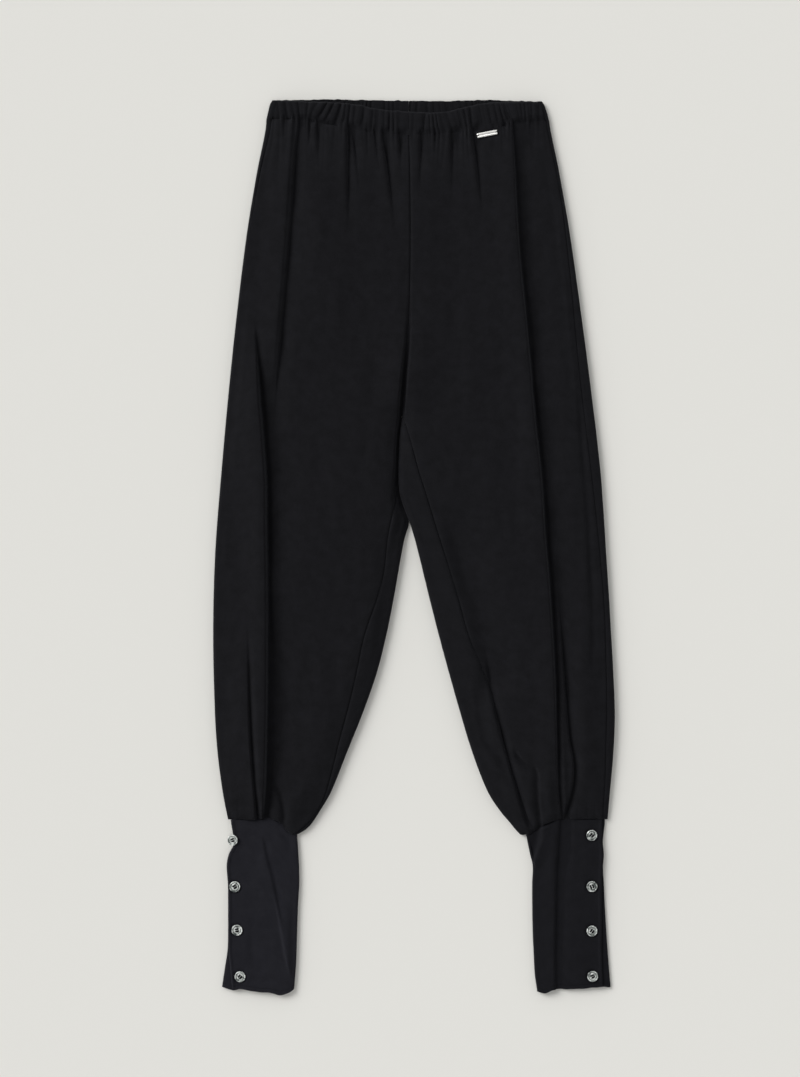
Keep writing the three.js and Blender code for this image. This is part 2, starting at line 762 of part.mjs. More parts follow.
const CUFF_TOP = UNDERLAP_TOP + SEAM_GAP + CUFF_CLOTH;
const CUFF_PARTS = [0, 0.06, 0.13, 0.21, 0.3, 0.4, 0.5, 0.6, 0.7, 0.8, 0.9, 1];
const CUFF_COLUMNS = 11;
const CURVED_CUFF_PART = 0.1; // of the cuff, by its curved top seam
const FLAT_BY_BUTTONS = 10;
const FLAT_BY_EDGE = 8;

function cuffTop(leg, x, y, outer, inner) {
  const clearOfButtons = smoothstep(Math.abs(x - outer), UNDERLAP, UNDERLAP + FLAT_BY_BUTTONS);
  const clearOfEdge = smoothstep(Math.abs(inner - x), CUFF_ROLL, CUFF_ROLL + FLAT_BY_EDGE);
  return CUFF_TOP + foldsLift(CUFF_FOLDS, x, y) * clearOfButtons * clearOfEdge;
}

function cuffRow(leg, part) {
  const hem = curveOf(CUFF_HEM[leg.side], "y", "x");
  const edges = CUFF_EDGES[leg.side];
  const cuffY = (x) => lerp(LEG_END_Y - CUFF_SEAM - cuffDrop[leg.side](x), hem(x), part);
  const startX = leg.outer(LEG_END_Y);
  const endX = leg.inner(LEG_END_Y - CUFF_DROP);
  const outer = curveOf(edges, "outer")(cuffY(startX));
  const lap = curveOf(edges, "lap")(cuffY(startX));
  const inner = curveOf(edges, "inner")(cuffY(endX));
  const point = (outerX, outerZ, innerX, innerZ) => ({
    outer: new THREE.Vector3(outerX, cuffY(outerX), outerZ),
    inner: new THREE.Vector3(innerX, cuffY(outerX), innerZ),
  });
  const turn = (edge, inwards, height, from, to) => {
    const run = [];
    const centre = edge + inwards * CUFF_ROLL;
    for (let k = 0; k <= ROLL_STEPS; k++) {
      const angle = lerp(from, to, k / ROLL_STEPS);
      const out = (reach) => centre - inwards * reach * Math.cos(angle);
      const up = (reach) => height / 2 + reach * Math.sin(angle);
      const innerX = out(CUFF_ROLL - CUFF_CLOTH);
      const innerZ = up(height / 2 - CUFF_CLOTH);
      run.push(point(out(CUFF_ROLL), up(height / 2), innerX, innerZ));
    }
    return run;
  };
  const underlapEnd = outer + leg.inwards * UNDERLAP;
  const under = [point(underlapEnd, UNDERLAP_TOP, underlapEnd, UNDERLAP_TOP - CUFF_CLOTH)];
  under.push(...turn(outer, leg.inwards, UNDERLAP_TOP, TOP_ANGLE, -TOP_ANGLE));
  const round = turn(inner, -leg.inwards, CUFF_TOP, -TOP_ANGLE, TOP_ANGLE);
  const floor = [under[under.length - 1]];
  const floorSteps = part < CURVED_CUFF_PART ? FLOOR_STEPS_AT_SEAM : FLOOR_STEPS;
  for (let k = 1; k < floorSteps; k++) {
    const x = lerp(floor[0].outer.x, round[0].outer.x, k / floorSteps);
    floor.push(point(x, 0, x, CUFF_CLOTH));
  }
  floor.push(round[0]);
  const topStart = inner - leg.inwards * CUFF_ROLL;
  const top = [round[round.length - 1]];
  for (let k = 1; k <= CUFF_COLUMNS; k++) {
    const x = lerp(topStart, lap, k / CUFF_COLUMNS);
    const height = cuffTop(leg, x, cuffY(x), outer, inner);
    top.push(point(x, height, x, height - CUFF_CLOTH));
  }
  return [under, floor, round, top];
}

for (const leg of Object.values(legs)) {
  const sheet = new Sheet();
  sheet.joinRows(CUFF_PARTS.map((part) => cuffRow(leg, part)));
  addPiece("cuff_" + leg.side, sheet.geometry(), CUFF_CREPE);
}

// A solid from a closed three.js geometry, for cutting.
const WELD = 1e-4;
function solidOf(geometry) {
  const bare = geometry.clone();
  bare.deleteAttribute("normal");
  bare.deleteAttribute("uv");
  const merged = mergeVertices(bare, WELD);
  const place = merged.attributes.position;
  const places = [];
  for (let i = 0; i < place.count; i++) places.push(new THREE.Vector3().fromBufferAttribute(place, i));
  const faces = [];
  for (let i = 0; i < merged.index.count; i += 3) {
    const face = [0, 1, 2].map((k) => merged.index.getX(i + k));
    if (new Set(face).size === 3) faces.push(face);
  }
  const closed = facingOut(places, faces);
  return new wasm.Manifold(
    new wasm.Mesh({
      numProp: 3,
      vertProperties: closed.attributes.position.array,
      triVerts: new Uint32Array(closed.index.array),
    }),
  );
}

function geometryOf(solid) {
  const mesh = solid.getMesh();
  const geometry = new THREE.BufferGeometry();
  geometry.setAttribute("position", new THREE.BufferAttribute(mesh.vertProperties, 3));
  geometry.setIndex(new THREE.BufferAttribute(mesh.triVerts, 1));
  geometry.computeVertexNormals();
  return geometry;
}

// The shell buttons: a dished disc with a raised rim and four thread holes.
const BUTTON_RADIUS = 6.75;
const BUTTON_HEIGHT = 2.6;
const BUTTON_SIDES = 16;
const BUTTON_HOLE = 0.85; // radius
const BUTTON_HOLE_SIDES = 6;
const BUTTON_HOLE_REACH = 1.55; // from the button's centre
const BUTTON_DISH = 1.8; // height of its middle
const BUTTON_PROFILE = [
  [0, 0],
  [5.2, 0],
  [BUTTON_RADIUS, 1.1],
  [6.2, BUTTON_HEIGHT],
  [5.2, BUTTON_HEIGHT],
  [4.3, BUTTON_DISH],
  [0, BUTTON_DISH],
];

function buttonGeometry() {
  const disc = new THREE.LatheGeometry(
    BUTTON_PROFILE.map(([radius, height]) => new THREE.Vector2(radius, height)),
    BUTTON_SIDES,
  ).rotateX(Math.PI / 2);
  let solid = solidOf(disc);
  const length = 4 * BUTTON_HEIGHT;
  const reach = BUTTON_HOLE_REACH / Math.SQRT2;
  for (const [x, y] of [[1, 1], [1, -1], [-1, 1], [-1, -1]]) {
    const drill = new THREE.CylinderGeometry(BUTTON_HOLE, BUTTON_HOLE, length, BUTTON_HOLE_SIDES);
    drill.rotateX(Math.PI / 2).translate(x * reach, y * reach, 0);
    solid = solid.subtract(solidOf(drill));
  }
  return geometryOf(solid);
}

// The top left button hangs half over the cuff's edge, so it leans out.
const BUTTONS = table(["side", "number", "x", "y", "turn", "lean", "lift"], [
  ["left", 1, -208, -337, 20, 18, 0.5],
  ["left", 2, -206, -390.5, 35, 0, 0],
  ["left", 3, -203.5, -440.5, 10, 0, 0],
  ["left", 4, -200, -494, 50, 0, 0],
  ["right", 1, 204.4, -331.5, 0, 0, 0],
  ["right", 2, 204.6, -390.3, 25, 0, 0],
  ["right", 3, 204.7, -441.5, 5, 0, 0],
  ["right", 4, 205.4, -493.6, 40, 0, 0],
]);
const buttonShape = buttonGeometry();
for (const button of BUTTONS) {
  const mesh = addPiece("button_" + button.side + "_" + button.number, buttonShape, SHELL);
  mesh.position.set(button.x, button.y, CUFF_TOP + SEAM_GAP + button.lift);
  mesh.rotation.order = "YZX";
  mesh.rotation.y = -degToRad(button.lean);
  mesh.rotation.z = degToRad(button.turn);
}

// The trim plate: a small bare metal bar sewn on just below the waistband, through a hole at
// each end.
const PLATE = {
  x: 84,
  y: 474.6,
  length: 23.5,
  width: 5.6,
  thickness: 0.9,
  corner: 0.7,
  turn: 11,
  hole: 0.6,
  holeInset: 1.6,
};
const ARC_SEGMENTS = 3;

// The front's height at a point; near the band a section is bent, so its level is found first.
function clothUnder(leg, x, y) {
  const rough = sectionOf(leg, y, "front");
  const section = sectionOf(leg, 2 * y - rough.yAt(x), "front");
  return frontHeight(section, x);
}

function plateGeometry() {
  const { length, width, thickness, corner, hole, holeInset } = PLATE;
  const outline = new THREE.Shape();
  outline.moveTo(-length / 2 + corner, -width / 2);
  outline.lineTo(length / 2 - corner, -width / 2);
  outline.absarc(length / 2 - corner, -width / 2 + corner, corner, -Math.PI / 2, 0);
  outline.absarc(length / 2 - corner, width / 2 - corner, corner, 0, Math.PI / 2);
  outline.absarc(-length / 2 + corner, width / 2 - corner, corner, Math.PI / 2, Math.PI);
  outline.absarc(-length / 2 + corner, -width / 2 + corner, corner, Math.PI, 1.5 * Math.PI);
  for (const end of [-1, 1]) {
    const opening = new THREE.Path();
    opening.absarc(end * (length / 2 - holeInset), 0, hole, 0, 2 * Math.PI, true);
    outline.holes.push(opening);
  }
  return new THREE.ExtrudeGeometry(outline, {
    depth: thickness,
    bevelEnabled: false,
    curveSegments: ARC_SEGMENTS,
  });
}

// The plate rests on the highest cloth under it.
const plateTurn = degToRad(PLATE.turn);
let plateSeat = 0;
for (const along of [-0.5, -0.25, 0, 0.25, 0.5]) {
  for (const across of [-0.5, 0, 0.5]) {
    const spot = new THREE.Vector2(PLATE.length * along, PLATE.width * across);
    spot.rotateAround(new THREE.Vector2(0, 0), plateTurn);
    plateSeat = Math.max(plateSeat, clothUnder(legs.right, PLATE.x + spot.x, PLATE.y + spot.y));
  }
}
const plate = addPiece("metal_plate", plateGeometry(), METAL);
plate.position.set(PLATE.x, PLATE.y, plateSeat + SEAM_GAP);
plate.rotation.z = plateTurn;

export default pants;
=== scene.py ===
import math

import bmesh
import bpy
import numpy as np
from mathutils import Matrix, Vector


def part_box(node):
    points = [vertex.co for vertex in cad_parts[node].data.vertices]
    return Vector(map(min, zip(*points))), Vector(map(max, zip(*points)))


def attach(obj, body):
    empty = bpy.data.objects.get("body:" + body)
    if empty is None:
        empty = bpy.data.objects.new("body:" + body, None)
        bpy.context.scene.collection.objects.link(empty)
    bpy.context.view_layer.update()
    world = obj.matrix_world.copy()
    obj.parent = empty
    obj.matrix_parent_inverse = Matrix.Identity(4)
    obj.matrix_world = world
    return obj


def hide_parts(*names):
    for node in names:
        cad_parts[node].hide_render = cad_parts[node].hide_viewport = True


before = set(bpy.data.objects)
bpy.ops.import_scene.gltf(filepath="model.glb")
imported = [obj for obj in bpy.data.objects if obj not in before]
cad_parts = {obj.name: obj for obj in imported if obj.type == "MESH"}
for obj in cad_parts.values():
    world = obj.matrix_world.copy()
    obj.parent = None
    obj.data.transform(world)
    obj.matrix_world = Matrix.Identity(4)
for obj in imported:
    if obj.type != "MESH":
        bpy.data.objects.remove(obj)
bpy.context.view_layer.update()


# The surface that the pants lie on and the camera that looks straight down at them.
# The surface is plain matt board. A wide soft box stands over the waist on the left, a small lamp
# glints in the metal and the buttons, and the room gives the rest, so shadows are short.
def linear(hex_colour):
    channels = [int(hex_colour[i : i + 2], 16) / 255 for i in (1, 3, 5)]
    return (*[c / 12.92 if c <= 0.04045 else ((c + 0.055) / 1.055) ** 2.4 for c in channels], 1)


def add_node(tree, kind, inputs=None, **settings):
    node = tree.nodes.new(kind)
    for name, value in settings.items():
        setattr(node, name, value)
    for name, value in (inputs or {}).items():
        if isinstance(value, bpy.types.NodeSocket):
            tree.links.new(value, node.inputs[name])
        else:
            node.inputs[name].default_value = value
    return node


def new_material(name):
    material = bpy.data.materials.new(name)
    material.use_nodes = True
    material.node_tree.nodes.clear()
    return material, material.node_tree


def surface_of(tree, shader):
    add_node(tree, "ShaderNodeOutputMaterial", {"Surface": shader.outputs[0]})


board_paint, tree = new_material("matt painted board")
grain = add_node(tree, "ShaderNodeTexNoise", {"Scale": 260.0, "Detail": 2.0})
grain_bump = add_node(
    tree,
    "ShaderNodeBump",
    {"Height": grain.outputs["Fac"], "Strength": 0.03, "Distance": 0.001},
)
board_shader = add_node(
    tree,
    "ShaderNodeBsdfPrincipled",
    {
        "Base Color": linear("#e0dfda"),
        "Roughness": 0.9,
        "Specular IOR Level": 0.1,
        "Normal": grain_bump.outputs["Normal"],
    },
)
surface_of(tree, board_shader)

board_mesh = bpy.data.meshes.new("board")
board_mesh.from_pydata(
    [(-3, -3, -0.0004), (3, -3, -0.0004), (3, 3, -0.0004), (-3, 3, -0.0004)], [], [(0, 1, 2, 3)]
)
board_mesh.materials.append(board_paint)
board = bpy.data.objects.new("board", board_mesh)
bpy.context.collection.objects.link(board)

VIEW_HEIGHT = 1.23855  # of the photograph's frame, in metres on the cloth
LENS = 90
camera_data = bpy.data.cameras.new("camera")
camera_data.lens = LENS
camera_data.sensor_width = 36
camera = bpy.data.objects.new("camera", camera_data)
camera.location = (-0.0161, 0.009775, VIEW_HEIGHT * LENS / 36 + 0.004)
bpy.context.collection.objects.link(camera)
bpy.context.scene.camera = camera

ROOM_LEVEL = 1.25
SUN_SHARE = 0.39  # of the light on the board
GLINT_SHARE = 0.09


def lamp(name, way, degrees, share):
    way = Vector(way).normalized()
    data = bpy.data.lights.new(name, "SUN")
    data.angle = math.radians(degrees)
    data.energy = share * math.pi / way.z
    light = bpy.data.objects.new(name, data)
    light.rotation_mode = "QUATERNION"
    light.rotation_quaternion = (-way).to_track_quat("-Z", "Y")
    bpy.context.collection.objects.link(light)


lamp("soft box", (-1.2, 0.85, 1.0), 34, SUN_SHARE)
lamp("small lamp", (0.12, -0.34, 1.0), 13, GLINT_SHARE)

# The room is brighter low down than overhead, and brighter on the side of the soft box.
world = bpy.data.worlds.new("room")
world.use_nodes = True
tree = world.node_tree
direction = add_node(tree, "ShaderNodeTexCoord")
height_up = add_node(tree, "ShaderNodeSeparateXYZ", {0: direction.outputs["Generated"]})
by_height = add_node(
    tree,
    "ShaderNodeMapRange",
    {
        "Value": height_up.outputs["Z"],
        "From Min": 0.0,
        "From Max": 0.85,
        "To Min": 2.1,
        "To Max": 0.45,
    },
    interpolation_type="SMOOTHSTEP",
)
towards_box = add_node(
    tree,
    "ShaderNodeVectorMath",
    {0: direction.outputs["Generated"], 1: (-0.34, 0.28, 0.0)},
    operation="DOT_PRODUCT",
)
by_side = add_node(tree, "ShaderNodeMath", {0: towards_box.outputs["Value"], 1: 1.0}, operation="ADD")
brightness = add_node(
    tree,
    "ShaderNodeMath",
    {0: by_height.outputs[0], 1: by_side.outputs[0]},
    operation="MULTIPLY",
)
room_light = add_node(
    tree,
    "ShaderNodeMath",
    {0: brightness.outputs[0], 1: (1 - SUN_SHARE - GLINT_SHARE) * ROOM_LEVEL},
    operation="MULTIPLY",
)
tree.links.new(room_light.outputs[0], tree.nodes["Background"].inputs["Strength"])
tree.nodes["Background"].inputs["Color"].default_value = (1, 1, 1, 1)
bpy.context.scene.world = world
bpy.context.scene.view_settings.view_transform = "Standard"


# The crepe of the legs and the waistband: a black polyester crepe, woven from hard-twisted yarn.
# The twist gives it a fine pebbled face that scatters light, so it is matt, with a faint soft
# sheen only where the cloth turns away.
def crepe(name, dark, light, pebble_mm, roughness, sheen):
    material, tree = new_material(name)
    lay = add_node(tree, "ShaderNodeUVMap", uv_map="cloth")
    pebble = add_node(
        tree,
        "ShaderNodeTexNoise",
        {"Vector": lay.outputs["UV"], "Scale": 1000 / pebble_mm, "Detail": 3.0, "Roughness": 0.6},
    )
    # the yarns lie 0.35 mm apart and are drawn 1.1 mm apart, so that they show
    yarn = add_node(
        tree,
        "ShaderNodeTexWave",
        {
            "Vector": lay.outputs["UV"],
            "Scale": 290.0,
            "Distortion": 2.5,
            "Detail": 2.0,
            "Detail Scale": 3.0,
        },
        bands_direction="X",
    )
    relief = add_node(
        tree,
        "ShaderNodeMath",
        {0: yarn.outputs["Fac"], 1: 0.35, 2: pebble.outputs["Fac"]},
        operation="MULTIPLY_ADD",
    )
    bump = add_node(
        tree,
        "ShaderNodeBump",
        {"Height": relief.outputs[0], "Strength": 0.55, "Distance": 0.00025},
    )
    wear = add_node(
        tree,
        "ShaderNodeTexNoise",
        {"Vector": lay.outputs["UV"], "Scale": 70.0, "Detail": 4.0, "Roughness": 0.75},
    )
    fleck = add_node(
        tree,
        "ShaderNodeMath",
        {0: wear.outputs["Fac"], 1: 1.1, 2: pebble.outputs["Fac"]},
        operation="MULTIPLY_ADD",
    )
    shade = add_node(
        tree,
        "ShaderNodeMapRange",
        {
            "Value": fleck.outputs[0],
            "From Min": 0.72,
            "From Max": 1.38,
            "To Min": 0.0,
            "To Max": 1.0,
        },
    )
    colour = add_node(
        tree,
        "ShaderNodeMix",
        {0: shade.outputs[0], 6: linear(dark), 7: linear(light)},
        data_type="RGBA",
    )
    shader = add_node(
        tree,
        "ShaderNodeBsdfPrincipled",
        {
            "Base Color": colour.outputs[2],
            "Roughness": roughness,
            "Specular IOR Level": 0.08,
            "Sheen Weight": sheen,
            "Sheen Roughness": 0.55,
            "Sheen Tint": linear("#c9cbd6"),
            "Normal": bump.outputs["Normal"],
        },
    )
    surface_of(tree, shader)
    return material


LEG_CREPE = crepe("black crepe", "#0c0c0e", "#161619", 0.7, 0.88, 0.05)


# The legs, front and back. They are cut wide and gathered to the waistband and the cuff, and lie
# flat: the backs are on the board and wrap a little round both edges, and the fronts lie on them.
# Heights are in millimetres over the board, and y is along the leg.
def table(names, rows):
    return [dict(zip(names, row)) for row in rows]


OUTLINE = table(
    ["y", "left", "right", "edge", "crown"],
    [
        [496, -169.5, 154.8, 6.0, 0.3],
        [477, -171, 157.5, 6.0, 0.6],
        [431, -180.5, 167, 6.6, 1.0],
        [362, -192, 179, 7.1, 1.4],
        [270, -203.5, 192, 7.5, 1.6],
        [178, -213.2, 204, 7.7, 1.7],
        [86, -221.5, 214.6, 7.8, 1.8],
        [-6, -228.6, 221, 7.8, 2.0],
        [-98, -231, 226.7, 7.8, 2.2],
        [-190, -229, 231, 7.8, 2.4],
        [-236, -226, 229.4, 7.4, 2.6],
        [-282, -220, 225.4, 6.6, 2.2],
        [-313, -214, 222.8, 5.0, 0.6],
    ],
)
INSIDE_LEG = table(
    ["y", "left", "right"],
    [
        [150, -13.7, -13.9],
        [128, -16.4, -16.6],
        [88, -17.8, -18.0],
        [66, -17.0, -17.2],
        [50, -13.2, -13.4],
        [30, -5.7, -5.6],
        [12, -10.2, 0],
        [-6, -14, 4.8],
        [-52, -22, 16],
        [-98, -31, 27.6],
        [-144, -42.5, 40],
        [-190, -58.5, 53],
        [-236, -77, 67],
        [-282, -95.5, 85],
        [-305, -109, 100],
        [-318.5, -118, 111.5],
        [-325.5, -125, 117],
        [-331, -134.5, 122.5],
    ],
)
CENTRE_SEAM = table(
    ["y", "x"],
    [[500, -6], [438, -4.6], [336, -4], [238, -6.6], [192, -10.6], [166, -12.8], [150, -13.8]],
)
INSEAM = table(
    ["y", "left", "right"],
    [
        [150, -14.5, -13.1],
        [128, -17.8, -5.6],
        [88, -19.2, 5.4],
        [60, -20.4, 14.2],
        [12, -30, 29],
        [-28, -34.5, 41.5],
        [-56, -41.4, 50],
        [-102, -57, 63],
        [-142, -65.5, 79],
        [-172, -72.3, 90.4],
        [-198, -79, 97],
        [-220, -85, 101.8],
        [-270, -97.5, 117],
        [-296, -106.5, 125.5],
        [-313, -117.5, 131.5],
        [-331, -138, 140],
    ],
)
SIDE_SEAM = table(
    ["y", "left", "right"],
    [
        [500, 6.4, 3.6],
        [433, 4.2, 3.4],
        [385, 2.6, 3.8],
        [356, -1, 5],
        [300, -1, 7],
        [204, -1, 11],
        [100, -1, 11.2],
        [-15, -1, 7.2],
        [-79, -1, 6.4],
        [-150, -1, 8.4],
        [-222, -1, 9.6],
        [-280, -1, 6.6],
        [-331, -1, 6],
    ],
)
BAND_FOOT = table(
    ["x", "front", "back"],
    [
        [-172, 492, 492],
        [-130, 490.5, 489],
        [-110, 487, 487],
        [-80, 482, 486],
        [-56, 477, 485.5],
        [-8, 473.5, 485],
        [30, 474, 485],
        [56, 476, 485.5],
        [84, 480.5, 486],
        [116, 485, 487],
        [158, 491, 491],
    ],
)
LEG_CLOTH = 1.2
SEAM_GAP = 0.3
WAIST_Y = 490
CROTCH_Y = 150
LEG_END_Y = -313
BEND_REACH = 90
CUFF_DROP = 18
OUTER_ROLL = 3.2
# how far in the inner edges round over, and how wide the trough is on each side of the line
# between the legs: there the left leg goes in under the right one
INNER_ROLL = table(
    ["y", "left", "right"],
    [[150, 2.6, 2.6], [72, 3.2, 2.6], [20, 4.4, 3.6], [-60, 4.6, 4.2], [-331, 3.6, 3.6]],
)
TROUGH = table(
    ["y", "left", "right"],
    [[260, 3.4, 2.6], [192, 4.6, 2.6], [150, 4.2, 2.6], [100, 4.6, 1]]
    + [[72, 6.6, 1], [54, 10, 1], [30, 14, 1]],
)
TROUGH_DEPTH = 5.4
TROUGH_FLOOR = 2.9


def smooth(value, low, high):
    t = np.clip((value - low) / (high - low), 0, 1)
    return t * t * (3 - 2 * t)


def curve_of(rows, column, by="y"):
    knots = sorted((row[by], row[column]) for row in rows)
    at = np.array([knot[0] for knot in knots], float)
    value = np.array([knot[1] for knot in knots], float)
    slope = np.gradient(value)
    slope[0] = value[1] - value[0]
    slope[-1] = value[-1] - value[-2]
    reach = np.gradient(at)
    reach[0] = at[1] - at[0]
    reach[-1] = at[-1] - at[-2]
    slope = slope / reach

    def read(places):
        places = np.clip(places, at[0], at[-1])
        i = np.clip(np.searchsorted(at, places) - 1, 0, len(at) - 2)
        span = at[i + 1] - at[i]
        t = (places - at[i]) / span
        rise = 3 * t**2 - 2 * t**3
        leave = t * (1 - t) ** 2 * span * slope[i]
        arrive = t**2 * (t - 1) * span * slope[i + 1]
        return value[i] + (value[i + 1] - value[i]) * rise + leave + arrive

    return read


LATTICE = 128


def uneven(x, y, width, length, seed):
    lattice = np.random.default_rng(seed).uniform(-1, 1, (LATTICE, LATTICE))
    u = np.asarray(x) / width + LATTICE / 2
    v = np.asarray(y) / length + LATTICE / 2
    i = np.floor(u).astype(int)
    j = np.floor(v).astype(int)
    s = u - i
    t = v - j
    s = s * s * (3 - 2 * s)
    t = t * t * (3 - 2 * t)

    def corner(di, dj):
        return lattice[(i + di) % LATTICE, (j + dj) % LATTICE]

    low = corner(0, 0) * (1 - s) + corner(1, 0) * s
    high = corner(0, 1) * (1 - s) + corner(1, 1) * s
    return low * (1 - t) + high * t


# Creases follow a path from head to tail. Depth is down into the cloth, and a ridge has less than
# nothing. Form 1 is a sharp crease, 2 a round one and 4 a flat-bottomed one; head and tail are
# the lengths over which it comes in and runs out.
CREASE = ["path", "depth", "left", "right", "form", "head", "tail"]
LEG_CREASES = table(
    CREASE,
    [
        # left upper crease and the ridge beside it
        [
            [(-130.5, 505), (-131.5, 485), (-135.4, 453), (-140, 380), (-143.5, 336), (-149, 273)]
            + [(-156, 192), (-161.5, 130)],
            *[4.6, 1.5, 9, 2, 6, 110],
        ],
        [[(-139, 505), (-143, 453), (-151, 336), (-163, 192), (-169, 130)], -2.0, 12, 2.6, 2, 30, 120],
        [[(-164, 240), (-158, 170), (-150, 110), (-148, 40)], 1.8, 16, 16, 2, 60, 60],
        # left pleats towards the cuff
        [
            [(-190.5, -70), (-188.5, -164), (-186.6, -222), (-182.5, -279.5), (-180, -309), (-179, -345)],
            *[5.6, 1.5, 4.0, 2, 160, 0],
        ],
        [
            [(-169, -268), (-160, -279.5), (-154, -286), (-151, -299), (-150, -307), (-154, -345)],
            *[4.2, 2.2, 4, 2, 14, 0],
        ],
        [[(-161, -268), (-160, -294), (-161, -322)], -2.6, 6, 6, 2, 24, 10],
        [[(-126, -262), (-134, -292), (-142, -322)], -2.0, 14, 10, 2, 30, 8],
        [[(-158, -168), (-142, -184), (-124, -204)], 2.2, 6, 9, 2, 16, 16],
        # right pleats by the side
        [[(168, -150), (172, -260), (175, -330)], -1.6, 3, 3, 2, 60, 0],
        [
            [(165, -20), (167, -55), (174.5, -153), (179.5, -220), (184, -244), (184, -269)]
            + [(180, -289), (175, -306), (174, -345)],
            *[6.2, 1.5, 6, 2, 130, 0],
        ],
        [[(190, -60), (194, -170), (196, -262)], -1.4, 9, 10, 2, 60, 40],
        [
            [(188.6, 200), (194, 100), (199, 42.6), (202, -15), (204.7, -72.5), (205, -160)],
            *[1.9, 3, 4.5, 2, 60, 60],
        ],
        [[(163, 410), (169, 353), (173.4, 307), (180, 238), (184, 203), (187, 150)], -1.2, 4, 4, 2, 50, 50],
        # right knee and shin
        [[(41, 66), (46, 20), (60, -36), (76, -80), (86, -133), (91, -186)], 8.2, 13, 30, 2, 90, 40],
        [[(82, -110), (90, -172), (98, -204), (108, -240), (122, -290), (131, -320)], 5.4, 1.8, 5, 2, 60, 0],
        [[(72, -150), (75, -180.5), (83, -220), (98.4, -243), (118, -285)], 2.6, 5, 9, 2, 30, 34],
        [
            [(112, -230), (118, -238), (126.5, -248), (132, -252.5), (139, -254), (142, -262)]
            + [(142, -276), (143, -297), (145, -312), (146, -345)],
            *[4.2, 5.0, 1.8, 2, 14, 0],
        ],
        [[(153, -246), (155, -288), (157, -325)], -2.6, 7, 6, 2, 30, 8],
    ],
)
# A pleat is cloth folded over to a crisp edge. A ridge lies left of the edge, with the deep fold
# right under it and a broad hollow beside it. Each of them runs out over its own length.
PLEATS = table(
    ["edge", "ridge", "ridgeTail", "fold", "foldTail", "hollow", "aside", "hollowTail", "head"],
    [
        [
            [(-182, 262), (-179.5, 224), (-176.5, 169), (-173.5, 134.6), (-169.6, 77), (-169.2, 31)]
            + [(-168.2, -61), (-168.2, -176), (-169.5, -245), (-170, -268), (-172, -312), (-172, -345)],
            *[3.8, 30, 5.8, 60, 5.4, 17, 130, 110],
        ],
        [
            [(113.5, 505), (114.5, 483), (116.6, 439), (118.4, 395.6), (122.4, 331), (130.6, 249.6)]
            + [(139.6, 146), (147, 77), (151.6, 8), (156, -44), (162, -141.5), (164.5, -219.7)]
            + [(166.5, -279.5), (170, -308), (171, -345)],
            *[2.6, 260, 5.2, 330, 4.6, 14, 380, 40],
        ],
    ],
)
for pleat in PLEATS:
    head = pleat["head"]
    for aside, depth, left, right, start, tail in [
        (-2.2, -pleat["ridge"], 17, 1.7, head, pleat["ridgeTail"]),
        (0, 4.0, 1.3, 5, 4 + head / 3, 0),
        (1.8, pleat["fold"], 2.0, 19, head, pleat["foldTail"]),
        (pleat["aside"], pleat["hollow"], 0.9 * pleat["aside"], 40, 3 * head, pleat["hollowTail"]),
    ]:
        path = [(x + aside, y) for x, y in pleat["edge"]]
        LEG_CREASES.append(dict(zip(CREASE, [path, depth, left, right, 2, start, tail])))

GATHERS = table(
    ["x", "tailX", "tailY", "depth"],
    [
        [-149, -149.5, 460, 1.0],
        [-138, -139, 470, 0.7],
        [-120, -121, 448, 1.5],
        [-110, -108, 438, 1.8],
        [-98, -97, 462, 0.8],
        [-88, -87, 455, 0.7],
        [-75, -75, 352, 2.6],
        [-69.6, -62, 402, 2.2],
        [-54, -53, 440, 1.4],
        [-45.5, -39, 428, 1.9],
        [-35, -20, 352, 2.8],
        [-15.7, -15, 425, 2.4],
        [9, 6, 396, 1.9],
        [16, 17, 450, 0.9],
        [24, 25, 446, 1.1],
        [34, 34, 460, 0.7],
        [44, 44, 394, 1.9],
        [49, 51.5, 438, 1.6],
        [69, 80, 372, 2.6],
        [92, 93, 452, 0.8],
        [101, 102, 446, 0.9],
        [121, 122, 462, 0.9],
        [135, 137, 444, 1.2],
        [146, 148, 462, 0.7],
    ],
)
for gather in GATHERS:
    top = gather["x"]
    tail = (gather["tailX"], gather["tailY"])
    middle = (top + 0.4 * (tail[0] - top), 480 + 0.4 * (tail[1] - 480))
    path = [(top, 505), (top, 480), middle, tail]
    beside = [(x - 5.5, y) for x, y in path]
    for line, depth, left, right, form, run_out in [
        (path, 1.35, 2.0, 6.5, 2, 0.85),
        (path, 1.45, 1.2, 2.8, 1, 0.7),
        (beside, -0.45, 5, 3, 2, 0.85),
    ]:
        row = [line, depth * gather["depth"], left, right, form, 1, run_out * (505 - tail[1])]
        LEG_CREASES.append(dict(zip(CREASE, row)))


def smooth_path(path, step=7):
    path = np.array(path, float)
    lengths = np.hypot(*np.diff(path, axis=0).T)
    at = np.concatenate([[0], np.cumsum(lengths)])
    rows = [{"y": a, "x": p[0], "z": p[1]} for a, p in zip(at, path)]
    places = np.linspace(0, at[-1], max(2, int(at[-1] / step) + 1))
    return np.stack([curve_of(rows, "x")(places), curve_of(rows, "z")(places)], axis=1)


